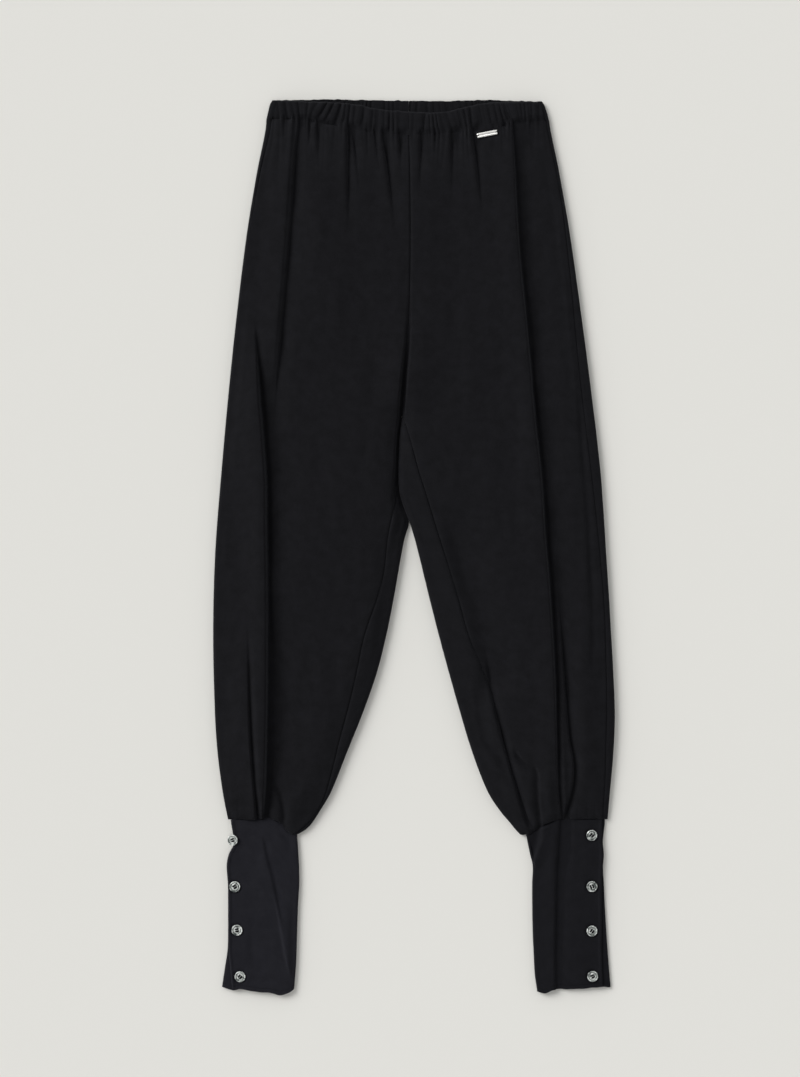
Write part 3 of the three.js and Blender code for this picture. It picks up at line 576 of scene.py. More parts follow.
def creased(x, y, creases):
    lift = np.zeros(x.shape)
    for crease in creases:
        path = smooth_path(crease["path"])
        reach = 3 * max(crease["left"], crease["right"])
        low = path.min(axis=0) - reach
        high = path.max(axis=0) + reach
        near = (x > low[0]) & (x < high[0]) & (y > low[1]) & (y < high[1])
        if not near.any():
            continue
        px = x[near]
        py = y[near]
        best = np.full(px.shape, 1e9)
        side = np.zeros(px.shape)
        along = np.zeros(px.shape)
        travelled = 0
        for start, end in zip(path[:-1], path[1:]):
            run = end - start
            length = math.hypot(*run)
            t = np.clip(((px - start[0]) * run[0] + (py - start[1]) * run[1]) / length**2, 0, 1)
            dx = px - start[0] - t * run[0]
            dy = py - start[1] - t * run[1]
            distance = np.hypot(dx, dy)
            closer = distance < best
            best = np.where(closer, distance, best)
            turn = np.sign(run[0] * (py - start[1]) - run[1] * (px - start[0]))
            side = np.where(closer, turn, side)
            along = np.where(closer, travelled + t * length, along)
            travelled += length
        strength = np.ones(px.shape)
        if crease["head"]:
            strength *= smooth(along, 0, crease["head"])
        if crease["tail"]:
            strength *= smooth(travelled - along, 0, crease["tail"])
        width = np.where(side < 0, crease["left"], crease["right"])
        strength *= 1 + 0.22 * uneven(along, path[0, 0] + 0 * along, 34, 10, 5)
        lift[near] -= crease["depth"] * strength * np.exp(-((best / width) ** crease["form"]))
    return lift


SIDES = ["left", "right"]
inwards = {"left": 1, "right": -1}
outer_x = {side: curve_of(OUTLINE, side) for side in SIDES}
inner_x = {side: curve_of(INSIDE_LEG, side) for side in SIDES}
inseam_x = {side: curve_of(INSEAM, side) for side in SIDES}
side_seam = {side: curve_of(SIDE_SEAM, side) for side in SIDES}
inner_roll = {side: curve_of(INNER_ROLL, side) for side in SIDES}
trough_reach = {side: curve_of(TROUGH, side) for side in SIDES}
band_foot = {layer: curve_of(BAND_FOOT, layer, "x") for layer in ["front", "back"]}
centre_x = curve_of(CENTRE_SEAM, "x")
edge_height = curve_of(OUTLINE, "edge")
crown_height = curve_of(OUTLINE, "crown")


def cuff_drop(side, x):
    if side == "left":
        return CUFF_DROP * smooth(x, -164, -137)
    return CUFF_DROP * smooth(-x, -166, -127)


def near_cuff(level):
    return smooth(-level, -(LEG_END_Y + BEND_REACH), -LEG_END_Y)


def inner_edge(side, level):
    below = inner_x[side](level - CUFF_DROP * near_cuff(level))
    return np.where(level > CROTCH_Y, centre_x(level), below)


def leg_y(side, layer, level, x):
    low = near_cuff(level)
    high = smooth(level, WAIST_Y - BEND_REACH, WAIST_Y)
    wave = 0.9 * low**4 * uneven(x, 0 * x, 6, 10, 33) if layer == "front" else 0
    return level - low * cuff_drop(side, x) + wave + high * (band_foot[layer](x) - WAIST_Y)


def gather_field(x, y, seed):
    # fine gathers, sharp between and round on top, uneven in width and height
    phase = x / 7.4 + 0.9 * uneven(x, y, 17, 60, seed) + 0.5 * uneven(x, y, 41, 200, seed + 1)
    wave = np.abs(np.sin(math.pi * phase)) ** 0.8
    return (wave - 0.6) * (0.7 + 0.5 * uneven(x, y, 13, 40, seed + 2))


# short dark hollows where the band is sewn on, deepest by the sides
def foot_hollow(x, above):
    places = smooth(uneven(x, 0 * x, 6.5, 10, 51), -0.15, 0.6)
    by_sides = 0.3 + 0.7 * smooth(np.abs(x + 4), 50, 92) - 0.7 * smooth(x, 122, 132)
    return 1.7 * places * by_sides * np.exp(-((above / 2.6) ** 2))


PLATE_MIDDLE = (84, 474.6)
PLATE_TURN = math.radians(11)
PLATE_LENGTH = 23.5
PLATE_WIDTH = 5.6
plate_floor = 1000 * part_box("metal_plate")[0][2]


# how much of the dent that the sewn plate pulls into the cloth is at a place
def under_plate(x, y):
    right = x - PLATE_MIDDLE[0]
    up = y - PLATE_MIDDLE[1]
    along = right * math.cos(PLATE_TURN) + up * math.sin(PLATE_TURN)
    across = up * math.cos(PLATE_TURN) - right * math.sin(PLATE_TURN)
    past_end = np.maximum(np.abs(along) - PLATE_LENGTH / 2, 0)
    past_side = np.maximum(np.abs(across) - PLATE_WIDTH / 2, 0)
    return smooth(-np.hypot(past_end, past_side), -3.6, -1.0)


# how deep the trough between the legs is
def trough(side, level, to_inner):
    ends = smooth(level, -14, 44) * smooth(-level, -300, -180)
    if side == "right":
        ends = ends * smooth(level, CROTCH_Y, CROTCH_Y + 34)
    return TROUGH_DEPTH * ends * np.exp(-((to_inner / trough_reach[side](level)) ** 6))


# The top face's height over the board, away from the rounded edges. Above the crotch the two
# fronts are sewn together, and the valley between them deepens until they part.
def top_height(side, layer, level, x):
    y = leg_y(side, layer, level, x)
    joined = level > CROTCH_Y
    parting = np.where(joined, 1 - smooth(level, CROTCH_Y, CROTCH_Y + 60), 1)
    inner = inner_edge(side, level)
    roll_in = inner_roll[side](level)
    to_outer = np.abs(x - outer_x[side](level))
    to_inner = np.abs(inner - x)
    inset = np.minimum(to_outer - OUTER_ROLL, to_inner - roll_in + 80 * (1 - parting))
    across = to_outer / np.abs(inner - outer_x[side](level))
    arch = 1 - np.abs(2 * across - 1) ** 3
    arch = arch + (1 - np.abs(across - 1) ** 3 - arch) * np.where(joined, smooth(level, CROTCH_Y, 250), 0)
    whole = smooth(inset, 0, 13)
    below_band = WAIST_Y - level
    above_cuff = level - LEG_END_Y
    free = smooth(below_band, 0, 70) * smooth(above_cuff, 0, 45)
    soft = 1.8 * uneven(x, y, 52, 170, 11) + 1.0 * uneven(x, y, 22, 95, 12)
    soft = soft * (0.35 + 0.65 * free) + 0.25 * uneven(x, y, 9, 40, 13)
    height = edge_height(level) + 1.25 * crown_height(level) * arch
    height = height + 3.2 * smooth(inset, 0, 34) * free
    by_fork = smooth(level, -40, 60) * smooth(-level, -290, -180)
    height = height + 2.8 * by_fork * smooth(to_inner, 1, 4) * smooth(-to_inner, -40, -8)
    height = height + whole * (creased(x, y, LEG_CREASES) + soft + 0.5)
    height = height + whole * 0.6 * smooth(-below_band, -95, 0)
    gathers = gather_field(x, y, 21)
    fade = np.exp(-below_band / (17 + 10 * uneven(x, y, 16, 400, 24)))
    height = height + 2.2 * gathers * fade * smooth(inset, 0, 8) - foot_hollow(x, below_band)
    cuff_gathers = gather_field(x * 0.7, y, 31)
    height = height + 1.0 * cuff_gathers * np.exp(-above_cuff / 15) * smooth(inset, 0, 8)
    height = height + 1.6 * np.exp(-(((above_cuff - 8) / 6) ** 2)) * smooth(inset, 0, 6)
    height = height - 0.9 * np.exp(-((above_cuff / 1.8) ** 2))
    height = height - trough(side, level, to_inner)
    groove = np.clip(1 - to_inner / roll_in, 0, 1)
    edge_top = edge_height(level) - trough(side, level, roll_in)
    sunk = TROUGH_FLOOR + (edge_top - TROUGH_FLOOR) * np.sqrt(1 - groove**2)
    height = height + np.where(joined & (to_inner < roll_in), (sunk - height) * parting, 0)
    height = height + under_plate(x, y) * (plate_floor - 1.6 - height)
    least = 2 * LEG_CLOTH + 0.5 + 1.6 * smooth(-below_band, -30, 0)
    return np.maximum(height, least)


# The seams are sewn from inside, so the cloth dips into them.
def seam_dip(side, level, x):
    to_centre = np.abs(x - centre_x(level))
    above_gap = 0.3 + 1.2 * smooth(level, 230, 290)
    dip = np.where(level > CROTCH_Y, above_gap * np.exp(-((to_centre / 1.3) ** 2)), 0)
    to_inseam = np.abs(x - inseam_x[side](leg_y(side, "front", level, x)))
    dip = dip + np.where(level <= CROTCH_Y, 1.0 * np.exp(-((to_inseam / 1.2) ** 2)), 0)
    inset = side_seam[side](level)
    to_side = np.abs(np.abs(x - outer_x[side](level)) - inset)
    return dip + np.where(inset > 0, 0.7 * np.exp(-((to_side / 1.2) ** 2)), 0)


# A point of a leg's face: on is the stretch (outer roll, top, floor or inner roll) and along is
# the angle on a roll, or x on the others. A quarter turn is on top.
def roll_points(side, layer, level, angle, end, wall):
    in_ward = inwards[side] if end == "outer" else -inwards[side]
    if end == "outer":
        edge = outer_x[side](level)
        roll = OUTER_ROLL + 0 * level
    else:
        edge = inner_edge(side, level)
        roll = inner_roll[side](level)
    centre = edge + in_ward * roll
    rise = edge_height(level) / 2
    if end == "inner":
        rise = rise - trough(side, level, roll) / 2
    x = centre - in_ward * (roll - wall) * np.cos(angle)
    z = rise + (rise - wall) * np.sin(angle)
    return np.stack([x, leg_y(side, layer, level, centre), z], axis=-1)


def floor_points(side, level, x, wall):
    y = leg_y(side, "back", level, x)
    from_outer = np.abs(x - outer_x[side](level)) - OUTER_ROLL
    top = top_height(side, "back", level, x)
    below_band = WAIST_Y - level
    lift = -creased(x * 1.04 + 6, y, UNDER_CREASES) + 0.5 * np.maximum(uneven(x, y, 38, 120, 41), 0)
    lift = lift + 1.2 * np.maximum(gather_field(x, y, 43), 0) * np.exp(-below_band / 16)
    lift = np.clip(lift, 0, np.minimum(2.2, top - 2 * LEG_CLOTH - 0.4)) * smooth(from_outer, 0, 16)
    return np.stack([x, y, lift + wall], axis=-1)


UNDER_CREASES = table(
    CREASE,
    [
        [[(-128, 505), (-138, 380), (-152, 210)], 1.6, 4, 7, 2, 6, 130],
        [[(-70, 505), (-66, 420), (-60, 340)], 1.4, 3.5, 3.5, 2, 2, 90],
        [[(-30, 505), (-33, 430), (-30, 370)], 1.3, 3, 3, 2, 2, 80],
        [[(28, 505), (30, 450), (33, 385)], 1.4, 3, 3, 2, 2, 70],
        [[(88, 505), (92, 430), (98, 330)], 1.7, 4, 5, 2, 2, 120],
        [[(-186, 210), (-178, 40), (-174, -140), (-176, -330)], 2.0, 6, 10, 2, 140, 0],
        [[(-150, -40), (-146, -180), (-150, -330)], 1.5, 5, 6, 2, 90, 0],
        [[(-96, 160), (-88, 20), (-104, -120)], 1.1, 7, 8, 2, 80, 90],
        [[(122, 420), (136, 240), (148, 40), (160, -150), (168, -330)], 2.0, 6, 7, 2, 90, 0],
        [[(196, 90), (200, -60), (190, -200), (182, -330)], 1.5, 5, 6, 2, 90, 0],
        [[(60, 40), (84, -90), (104, -220), (128, -330)], 1.3, 6, 8, 2, 60, 0],
        [[(40, 330), (52, 210), (50, 100)], 1.0, 8, 8, 2, 70, 70],
    ],
)
GAP_ANGLE = 0.06


def mean_radius(a, b):
    return np.sqrt((a * a + b * b) / 2)


# The front runs from the side seam over the top to the centre seam or the inseam.
def front_faces(side, levels, columns):
    level = levels[:, None] + np.zeros((1, columns))
    share = np.linspace(0, 1, columns)[None, :] + 0 * level
    joined = level > CROTCH_Y
    outer = outer_x[side](level)
    inner = inner_edge(side, level)
    roll_in = np.where(joined, 0, inner_roll[side](level))
    rise = edge_height(level) / 2
    out_radius = mean_radius(OUTER_ROLL, rise)
    in_radius = mean_radius(np.maximum(roll_in, 1), rise)
    half_gap = SEAM_GAP / 2
    top_width = np.abs(inner - outer) - OUTER_ROLL - roll_in

    inset = side_seam[side](level)
    on_roll = np.arccos(np.clip(1 - np.maximum(inset, 0) / OUTER_ROLL, 0, 1)) + GAP_ANGLE
    start_on_top = inset + half_gap - OUTER_ROLL
    start = np.where(start_on_top > 0, start_on_top, -(math.pi / 2 - np.minimum(on_roll, 1.5)) * out_radius)

    seam = inseam_x[side](leg_y(side, "front", level, inseam_x[side](level)))
    inside = np.abs(inner - seam)
    over = np.arccos(np.clip(1 - inside / np.maximum(roll_in, 0.1), 0, 1)) + GAP_ANGLE
    stop_on_top = top_width - (inside + half_gap - roll_in)
    stop_on_roll = top_width + (math.pi / 2 - np.minimum(over, 1.5)) * in_radius
    stop = np.where(inside + half_gap > roll_in, stop_on_top, stop_on_roll)
    stop = np.where(joined, top_width, stop)

    place = start + (stop - start) * share
    x = outer + inwards[side] * (OUTER_ROLL + place)
    faces = []
    height = top_height(side, "front", level, x) - seam_dip(side, level, x)
    for wall in (0, LEG_CLOTH):
        points = np.stack([x, leg_y(side, "front", level, x), height - wall], axis=-1)
        outer_angle = math.pi / 2 + place / out_radius
        rolled = roll_points(side, "front", level, outer_angle, "outer", wall)
        points = np.where((place < 0)[..., None], rolled, points)
        inner_angle = math.pi / 2 - (place - top_width) / in_radius
        rolled = roll_points(side, "front", level, inner_angle, "inner", wall)
        points = np.where(((place > top_width) & ~joined)[..., None], rolled, points)
        faces.append(points)
    return faces


# The back runs from the side seam round the outer edge, along the board, and below the crotch
# round the inner edge and over the top to the inseam.
def back_faces(side, levels, columns):
    level = levels[:, None] + np.zeros((1, columns))
    share = np.linspace(0, 1, columns)[None, :] + 0 * level
    joined = level > CROTCH_Y
    outer = outer_x[side](level)
    inner = inner_edge(side, level)
    roll_in = np.where(joined, 0, inner_roll[side](level))
    rise = edge_height(level) / 2
    out_radius = mean_radius(OUTER_ROLL, rise)
    in_radius = mean_radius(np.maximum(roll_in, 1), rise)
    half_gap = SEAM_GAP / 2
    floor_width = np.abs(inner - outer) - OUTER_ROLL - roll_in

    inset = side_seam[side](level)
    on_roll = np.arccos(np.clip(1 - np.maximum(inset, 0) / OUTER_ROLL, 0, 1)) - GAP_ANGLE
    start_on_roll = (math.pi / 2 - on_roll) * out_radius
    start = np.where(inset - half_gap > OUTER_ROLL, -(inset - half_gap - OUTER_ROLL), start_on_roll)

    seam = inseam_x[side](leg_y(side, "front", level, inseam_x[side](level)))
    inside = np.abs(inner - seam)
    floor_start = math.pi * out_radius
    floor_end = floor_start + floor_width
    over = np.arccos(np.clip(1 - inside / np.maximum(roll_in, 0.1), 0, 1)) - GAP_ANGLE
    stop_on_roll = floor_end + (over + math.pi / 2) * in_radius
    stop_on_top = floor_end + math.pi * in_radius + (inside - half_gap - roll_in)
    stop = np.where(inside - half_gap > roll_in, stop_on_top, stop_on_roll)
    stop = np.where(joined, floor_end, stop)

    place = start + (stop - start) * share
    faces = []
    near_x = outer + inwards[side] * (OUTER_ROLL - place)
    floor_x = outer + inwards[side] * (OUTER_ROLL + place - floor_start)
    far_x = inner - inwards[side] * (roll_in + place - floor_end - math.pi * in_radius)
    far_height = top_height(side, "front", level, far_x) - seam_dip(side, level, far_x)
    near_height = top_height(side, "front", level, near_x) - seam_dip(side, level, near_x)
    for wall in (0, LEG_CLOTH):
        points = floor_points(side, level, floor_x, wall)
        angle = math.pi / 2 - place / out_radius
        rolled = roll_points(side, "back", level, angle, "outer", wall)
        points = np.where((place < floor_start)[..., None], rolled, points)
        near = np.stack([near_x, leg_y(side, "back", level, near_x), near_height - wall], axis=-1)
        points = np.where((place < 0)[..., None], near, points)
        angle = -math.pi / 2 + (place - floor_end) / in_radius
        rolled = roll_points(side, "back", level, angle, "inner", wall)
        points = np.where((place > floor_end)[..., None], rolled, points)
        far = np.stack([far_x, leg_y(side, "front", level, far_x), far_height - wall], axis=-1)
        points = np.where((place > floor_end + math.pi * in_radius)[..., None], far, points)
        faces.append(points)
    return faces


# A thin closed shell from the outer and the inner face of a cloth, each a grid of points in
# millimetres, with the cloth's own map in metres for its weave.
def cloth_shell(name, faces, material):
    outer, inner = faces
    rows, columns = outer.shape[:2]
    count = rows * columns
    index = np.arange(count).reshape(rows, columns)
    quads = np.stack([index[:-1, :-1], index[1:, :-1], index[1:, 1:], index[:-1, 1:]], axis=-1)
    quads = quads.reshape(-1, 4)
    around = np.concatenate([index[0, :-1], index[:-1, -1], index[-1, :0:-1], index[:0:-1, 0]])
    following = np.roll(around, -1)
    rim = np.stack([around, following, following + count, around + count], axis=-1)
    quads = np.concatenate([quads, quads[:, ::-1] + count, rim])
    places = np.concatenate([outer.reshape(-1, 3), inner.reshape(-1, 3)]) / 1000

    a, b, c = (places[quads[:, k]] for k in (0, 1, 2))
    d = places[quads[:, 3]]
    volume = np.sum(np.cross(b - a, c - a) * a) + np.sum(np.cross(c - a, d - a) * a)
    if volume < 0:
        quads = quads[:, ::-1]
    steps = np.linalg.norm(np.diff(outer, axis=1), axis=-1)
    across = np.concatenate([np.zeros((rows, 1)), np.cumsum(steps, axis=1)], axis=1)
    across = across - across[:, columns // 2][:, None]
    down = np.linalg.norm(np.diff(outer, axis=0), axis=-1)
    along = np.concatenate([np.zeros((1, columns)), np.cumsum(down, axis=0)], axis=0)
    lay = np.stack([across, along], axis=-1).reshape(-1, 2) / 1000
    lay = np.concatenate([lay, lay])

    mesh = bpy.data.meshes.new(name)
    mesh.from_pydata(places.tolist(), [], quads.tolist())
    uv = mesh.uv_layers.new(name="cloth")
    uv.data.foreach_set("uv", lay[quads.ravel()].ravel())
    mesh.polygons.foreach_set("use_smooth", [True] * len(quads))
    mesh.materials.append(material)
    mesh.update()
    mesh.set_sharp_from_angle(angle=math.radians(70))
    piece = bpy.data.objects.new(name, mesh)
    bpy.context.collection.objects.link(piece)
    return piece


LEG_ROWS = 262
leg_levels = np.linspace(WAIST_Y, LEG_END_Y, LEG_ROWS)
# the cut of each panel, with the width that is taken up by gathers and pleats
for side in SIDES:
    for layer, faces_of, columns in [("front", front_faces, 180), ("back", back_faces, 132)]:
        node = f"{layer}_leg_{side}"
        panel = cloth_shell(f"crepe_{node}", faces_of(side, leg_levels, columns), LEG_CREPE)
        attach(panel, "root")
        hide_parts(node)


# The waistband: a casing of the same crepe, folded over a wide elastic that gathers it. It is in
# four lengths, because the centre and side seams run through it. Its front dips, so that the
# inside of the back shows over it.
BAND_TOP = table(
    ["x", "front", "back"],
    [
        [-166, 513.6, 513.6],
        [-91, 511, 515],
        [-66, 509, 514.4],
        [-44, 504, 514],
        [-8, 501, 513.6],
        [25, 499.5, 513],
        [45, 502.5, 513.4],
        [58, 506, 514],
        [84, 510.6, 514.2],
        [148, 512.4, 512.4],
    ],
)
BAND_SIDE = table(
    ["y", "left", "right"],
    [[491, -170, 155.2], [500, -168, 153], [509.5, -165.6, 149.5], [514, -163, 146]],
)
BAND_HEIGHT = 24
BAND_SEAM_INSET = {"left": 6.6, "right": 4.6}
BAND_WALL = 2.4
BAND_ROLL = 3.4
BAND_FLOOR = 3.6  # of the front lengths, which lie on the back ones
band_top = {layer: curve_of(BAND_TOP, layer, "x") for layer in ["front", "back"]}
band_side = {side: curve_of(BAND_SIDE, side) for side in SIDES}
BAND_CREASES = table(
    CREASE,
    [
        [[(-15.8, 520), (-15.7, 466)], 2.2, 0.8, 1.5, 1, 0, 0],
        [[(14.5, 505), (12, 488), (10.5, 468)], 2.4, 1.4, 1.6, 1, 3, 0],
        [[(64, 512), (66, 495), (68, 470)], 2.4, 1.5, 1.5, 1, 3, 0],
        [[(103, 514), (108, 498), (114, 486), (116.5, 478)], 2.2, 1.6, 1.6, 1, 3, 0],
        [[(122, 514), (124, 500), (125, 489)], 1.8, 1.4, 1.4, 1, 3, 4],
        [[(131, 512), (132, 500), (134, 490)], 1.2, 1.4, 1.4, 1, 3, 4],
        [[(83, 513), (86, 500), (90, 483)], 1.5, 1.3, 1.3, 1, 3, 4],
        [[(74, 512), (77, 496), (80, 480)], 1.0, 1.3, 1.3, 1, 3, 4],
        [[(49, 505), (52, 492), (56, 477)], 1.2, 1.3, 1.3, 1, 3, 4],
        [[(36, 503), (41, 490), (46, 476)], 1.0, 1.3, 1.3, 1, 3, 4],
        [[(-91, 512), (-97, 500), (-106, 484)], 2.0, 1.6, 1.6, 1, 3, 0],
        [[(-99, 512), (-106, 500), (-115, 487)], 2.0, 1.6, 1.6, 1, 3, 0],
        [[(-83, 512), (-87, 500), (-92, 486)], 1.4, 1.3, 1.3, 1, 3, 3],
        [[(-73, 511), (-74, 500), (-77, 482)], 1.8, 1.3, 1.3, 1, 3, 3],
        [[(-58, 509), (-58.5, 495), (-63, 479)], 1.6, 1.3, 1.3, 1, 3, 3],
        [[(-43, 505), (-43.5, 490), (-44, 477)], 1.2, 1.2, 1.2, 1, 3, 3],
        [[(-27, 503), (-28, 490), (-29, 475)], 1.0, 1.2, 1.2, 1, 3, 3],
        [[(-148, 515), (-146, 503), (-144, 492)], 1.6, 1.4, 1.4, 1, 2, 3],
        [[(-134, 514), (-132, 502), (-131, 492)], 1.4, 1.3, 1.3, 1, 2, 3],
        [[(-121, 514), (-122, 502), (-123, 490)], 1.0, 1.3, 1.3, 1, 2, 3],
    ],
)


# how far the gathers lean, in millimetres across for each one up
GATHER_LEAN = table(
    ["x", "lean"],
    [
        [-165, -0.1],
        [-140, -0.15],
        [-122, 0.1],
        [-105, 0.5],
        [-88, 0.42],
        [-74, 0.1],
        [-58, 0.12],
        [-25, 0],
        [8, 0.05],
        [36, -0.34],
        [52, -0.24],
        [67, -0.1],
        [86, -0.22],
        [108, -0.36],
        [124, -0.1],
        [150, 0],
    ],
)
gather_lean = curve_of(GATHER_LEAN, "lean", "x")


def band_y(layer, x, part):
    foot = band_foot[layer](x)
    top = band_top[layer](x) + 0.5 * uneven(x, 0 * x, 4.6, 10, 52)
    return foot + (top - foot) * part


# Distances up the band's height, closer together by its two edges.
near_edge = np.array([0, 0.3, 0.7, 1.2, 1.8])
BAND_PARTS = np.concatenate(
    [near_edge / BAND_HEIGHT, np.linspace(0.11, 0.89, 20), 1 - near_edge[::-1] / BAND_HEIGHT]
)


def band_relief(x, y, part, seed):
    # the gathers are tightest at the seam and flatter at the fold
    leaning = x - BAND_HEIGHT * part * gather_lean(x)
    gathers = gather_field(leaning, 484 + 0.3 * part, seed)
    fine = 0.3 * uneven(leaning, y, 2.6, 30, seed + 5)
    broad = 0.5 * uneven(leaning, y, 15, 60, seed + 6)
    return (2.3 * gathers + fine + broad) * (1 - 0.25 * part)


def front_band_faces(side, columns=200):
    part = BAND_PARTS[:, None] + np.zeros((1, columns))
    share = np.linspace(0, 1, columns)[None, :] + 0 * part
    side_y = band_y("front", outer_x[side](WAIST_Y), part)
    start = band_side[side](side_y) + inwards[side] * (BAND_SEAM_INSET[side] + SEAM_GAP / 2)
    stop = centre_x(WAIST_Y)
    x = start + (stop - start) * share
    y = band_y("front", x, part)
    relief = band_relief(x, y, part, 21) + creased(x, y, BAND_CREASES)
    flat = smooth(x, -20, -16) * smooth(-x, 3, 5)
    relief = relief * (1 - 0.85 * flat)
    seam = 0.5 * np.exp(-(((x - centre_x(WAIST_Y)) / 1.1) ** 2))
    swell = 0.7 * np.sin(math.pi * part)
    by_side = 1 - smooth(np.abs(x - start), 0, 9)
    height = BAND_FLOOR + BAND_WALL + 1.5 - by_side + swell + relief - seam
    below = top_height(side, "front", WAIST_Y + 0 * x, x)
    hollow = foot_hollow(x, BAND_HEIGHT * part) * (part > 0)
    height = below + (height - below) * smooth(part, 0, 0.35) - hollow
    height = np.maximum(height, BAND_FLOOR + 0.9)
    bow = np.clip((part - (1 - 2 / BAND_HEIGHT)) * 12, 0, 1)
    middle = BAND_FLOOR + 0.8
    height = middle + (height - middle) * np.sqrt(1 - bow**2)
    inner = np.stack([x, y, BAND_FLOOR + 0 * height], axis=-1)
    return np.stack([x, y, height], axis=-1), inner


# The back length goes round the side of the band and over the top to the side seam.
def back_band_faces(side, columns=230):
    part = BAND_PARTS[:, None] + np.zeros((1, columns))
    share = np.linspace(0, 1, columns)[None, :] + 0 * part
    side_y = band_y("back", outer_x[side](WAIST_Y), part)
    edge = band_side[side](side_y)
    centre = edge + inwards[side] * BAND_ROLL
    upper = BAND_FLOOR + BAND_WALL
    strip = BAND_SEAM_INSET[side] - SEAM_GAP / 2 - BAND_ROLL
    radius = mean_radius(BAND_ROLL, upper / 2)
    turn_end = strip + math.pi * radius
    length = np.abs(centre_x(WAIST_Y) - centre) - SEAM_GAP / 2
    place = (turn_end + length) * share
    top_x = centre + inwards[side] * (strip - place)
    angle = np.clip(math.pi / 2 - (place - strip) / radius, -math.pi / 2, math.pi / 2)
    floor_x = centre + inwards[side] * (place - turn_end)
    bow = np.clip((part - (1 - 2 / BAND_HEIGHT)) * 12, 0, 1)
    round_off = np.sqrt(1 - bow**2)
    on_top = place < strip
    on_roll = (place >= strip) & (place < turn_end)

    relief = band_relief(floor_x, band_y("back", floor_x, part), part, 61)
    flat = smooth(floor_x, -22, -19) * smooth(-floor_x, 5, 7)
    relief = relief * (1 - 0.85 * flat) * smooth(place - turn_end, 0, 8)
    grooves = np.clip(-relief, 0, 0.9)
    crests = np.clip(0.5 + relief, 0, 1.1)
    top_relief = 0.4 * band_relief(top_x, side_y, part, 21) + 0.3 * np.sin(math.pi * part)
    foot = 0.9 * np.exp(-((part * BAND_HEIGHT / 1.3) ** 2))
    outer_z = np.where(on_top, BAND_FLOOR + (BAND_WALL + top_relief - foot) * (0.3 + 0.7 * round_off), 0)
    outer_z = np.where(on_roll, upper / 2 * (1 + np.sin(angle) * (0.6 + 0.4 * round_off)), outer_z)
    outer_z = np.where(on_top | on_roll, outer_z, grooves + 0.5 * (1 - round_off))
    inner_rise = (BAND_FLOOR - BAND_WALL) / 2
    inner_z = np.where(on_top, BAND_FLOOR, upper / 2 + inner_rise * np.sin(angle))
    inner_z = np.where(on_top | on_roll, inner_z, BAND_WALL + (crests - 0.6) * round_off)
    flat_x = np.where(on_top, top_x, floor_x)
    outside_x = np.where(on_roll, centre - inwards[side] * BAND_ROLL * np.cos(angle), flat_x)
    inside_x = np.where(on_roll, centre - inwards[side] * np.cos(angle), flat_x)
    y = band_y("back", np.where(on_top | on_roll, centre, floor_x), part)
    return np.stack([outside_x, y, outer_z], axis=-1), np.stack([inside_x, y, inner_z], axis=-1)


for side in SIDES:
    for layer, faces_of in [("front", front_band_faces), ("back", back_band_faces)]:
        node = f"waistband_{layer}_{side}"
        casing = cloth_shell(f"casing_{node}", faces_of(side), LEG_CREPE)
        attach(casing, "root")
        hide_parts(node)


# The cuffs: long plain bands in a smoother, slightly bluer crepe, each one piece that goes round
# and laps over itself at the outer side, where it buttons. The hem is a narrow turned one.
# The two cuffs are the same crepe in two tones: the left one's lighter colours are painted light, and the
# right one's darker colours are painted shade.
CUFF_CREPE = {
    "left": crepe("smooth blue-black crepe", "#15151a", "#1e1e23", 0.55, 0.8, 0.06),
    "right": crepe("smooth blue-black crepe, painted shade", "#0d0d10", "#151519", 0.55, 0.8, 0.05),
}
CUFF_EDGES = {
    "left": table(
        ["y", "outer", "lap", "inner"],
        [
            [-318, -210.5, -210, -129],
            [-332, -208, -207.6, -134.2],
            [-340, -206.4, -206, -133.8],
            [-353, -213, -212.4, -133],
            [-367, -215.6, -215, -132.2],
            [-388, -214.2, -213.6, -132],
            [-412, -214, -213.4, -133.4],
            [-446, -214, -213.4, -134.5],
            [-464, -214.6, -213.2, -135],
            [-481, -217, -211.5, -135.7],
            [-509, -221, -209, -138],
        ],
    ),
    "right": table(
        ["y", "outer", "lap", "inner"],
        [
            [-318, 219.6, 216.4, 122],
            [-332, 218, 216, 129],
            [-340, 217.4, 216, 130.6],
            [-354, 218.5, 217.2, 133.4],
            [-369, 217.6, 216.2, 136.6],
            [-388, 218.5, 215.8, 136],
            [-412, 219.6, 215.7, 136],
            [-446, 221.6, 215.7, 136.6],
            [-466, 223, 215.7, 137.6],
            [-492, 225, 216.6, 139],
            [-509, 226.5, 217.5, 141.5],
        ],
    ),
}
CUFF_HEM = {
    "left": table(
        ["x", "y"],
        [
            [-221, -506],
            [-209, -510],
            [-200, -508],
            [-182, -511],
            [-163, -513],
            [-154, -515],
            [-145, -513],
            [-138, -508],
        ],
    ),
    "right": table(
        ["x", "y"],
        [
            [141.5, -511],
            [150, -513],
            [159, -509.5],
            [177, -508.4],
            [196, -508],
            [210, -506.2],
            [226.5, -506],
        ],
    ),
}
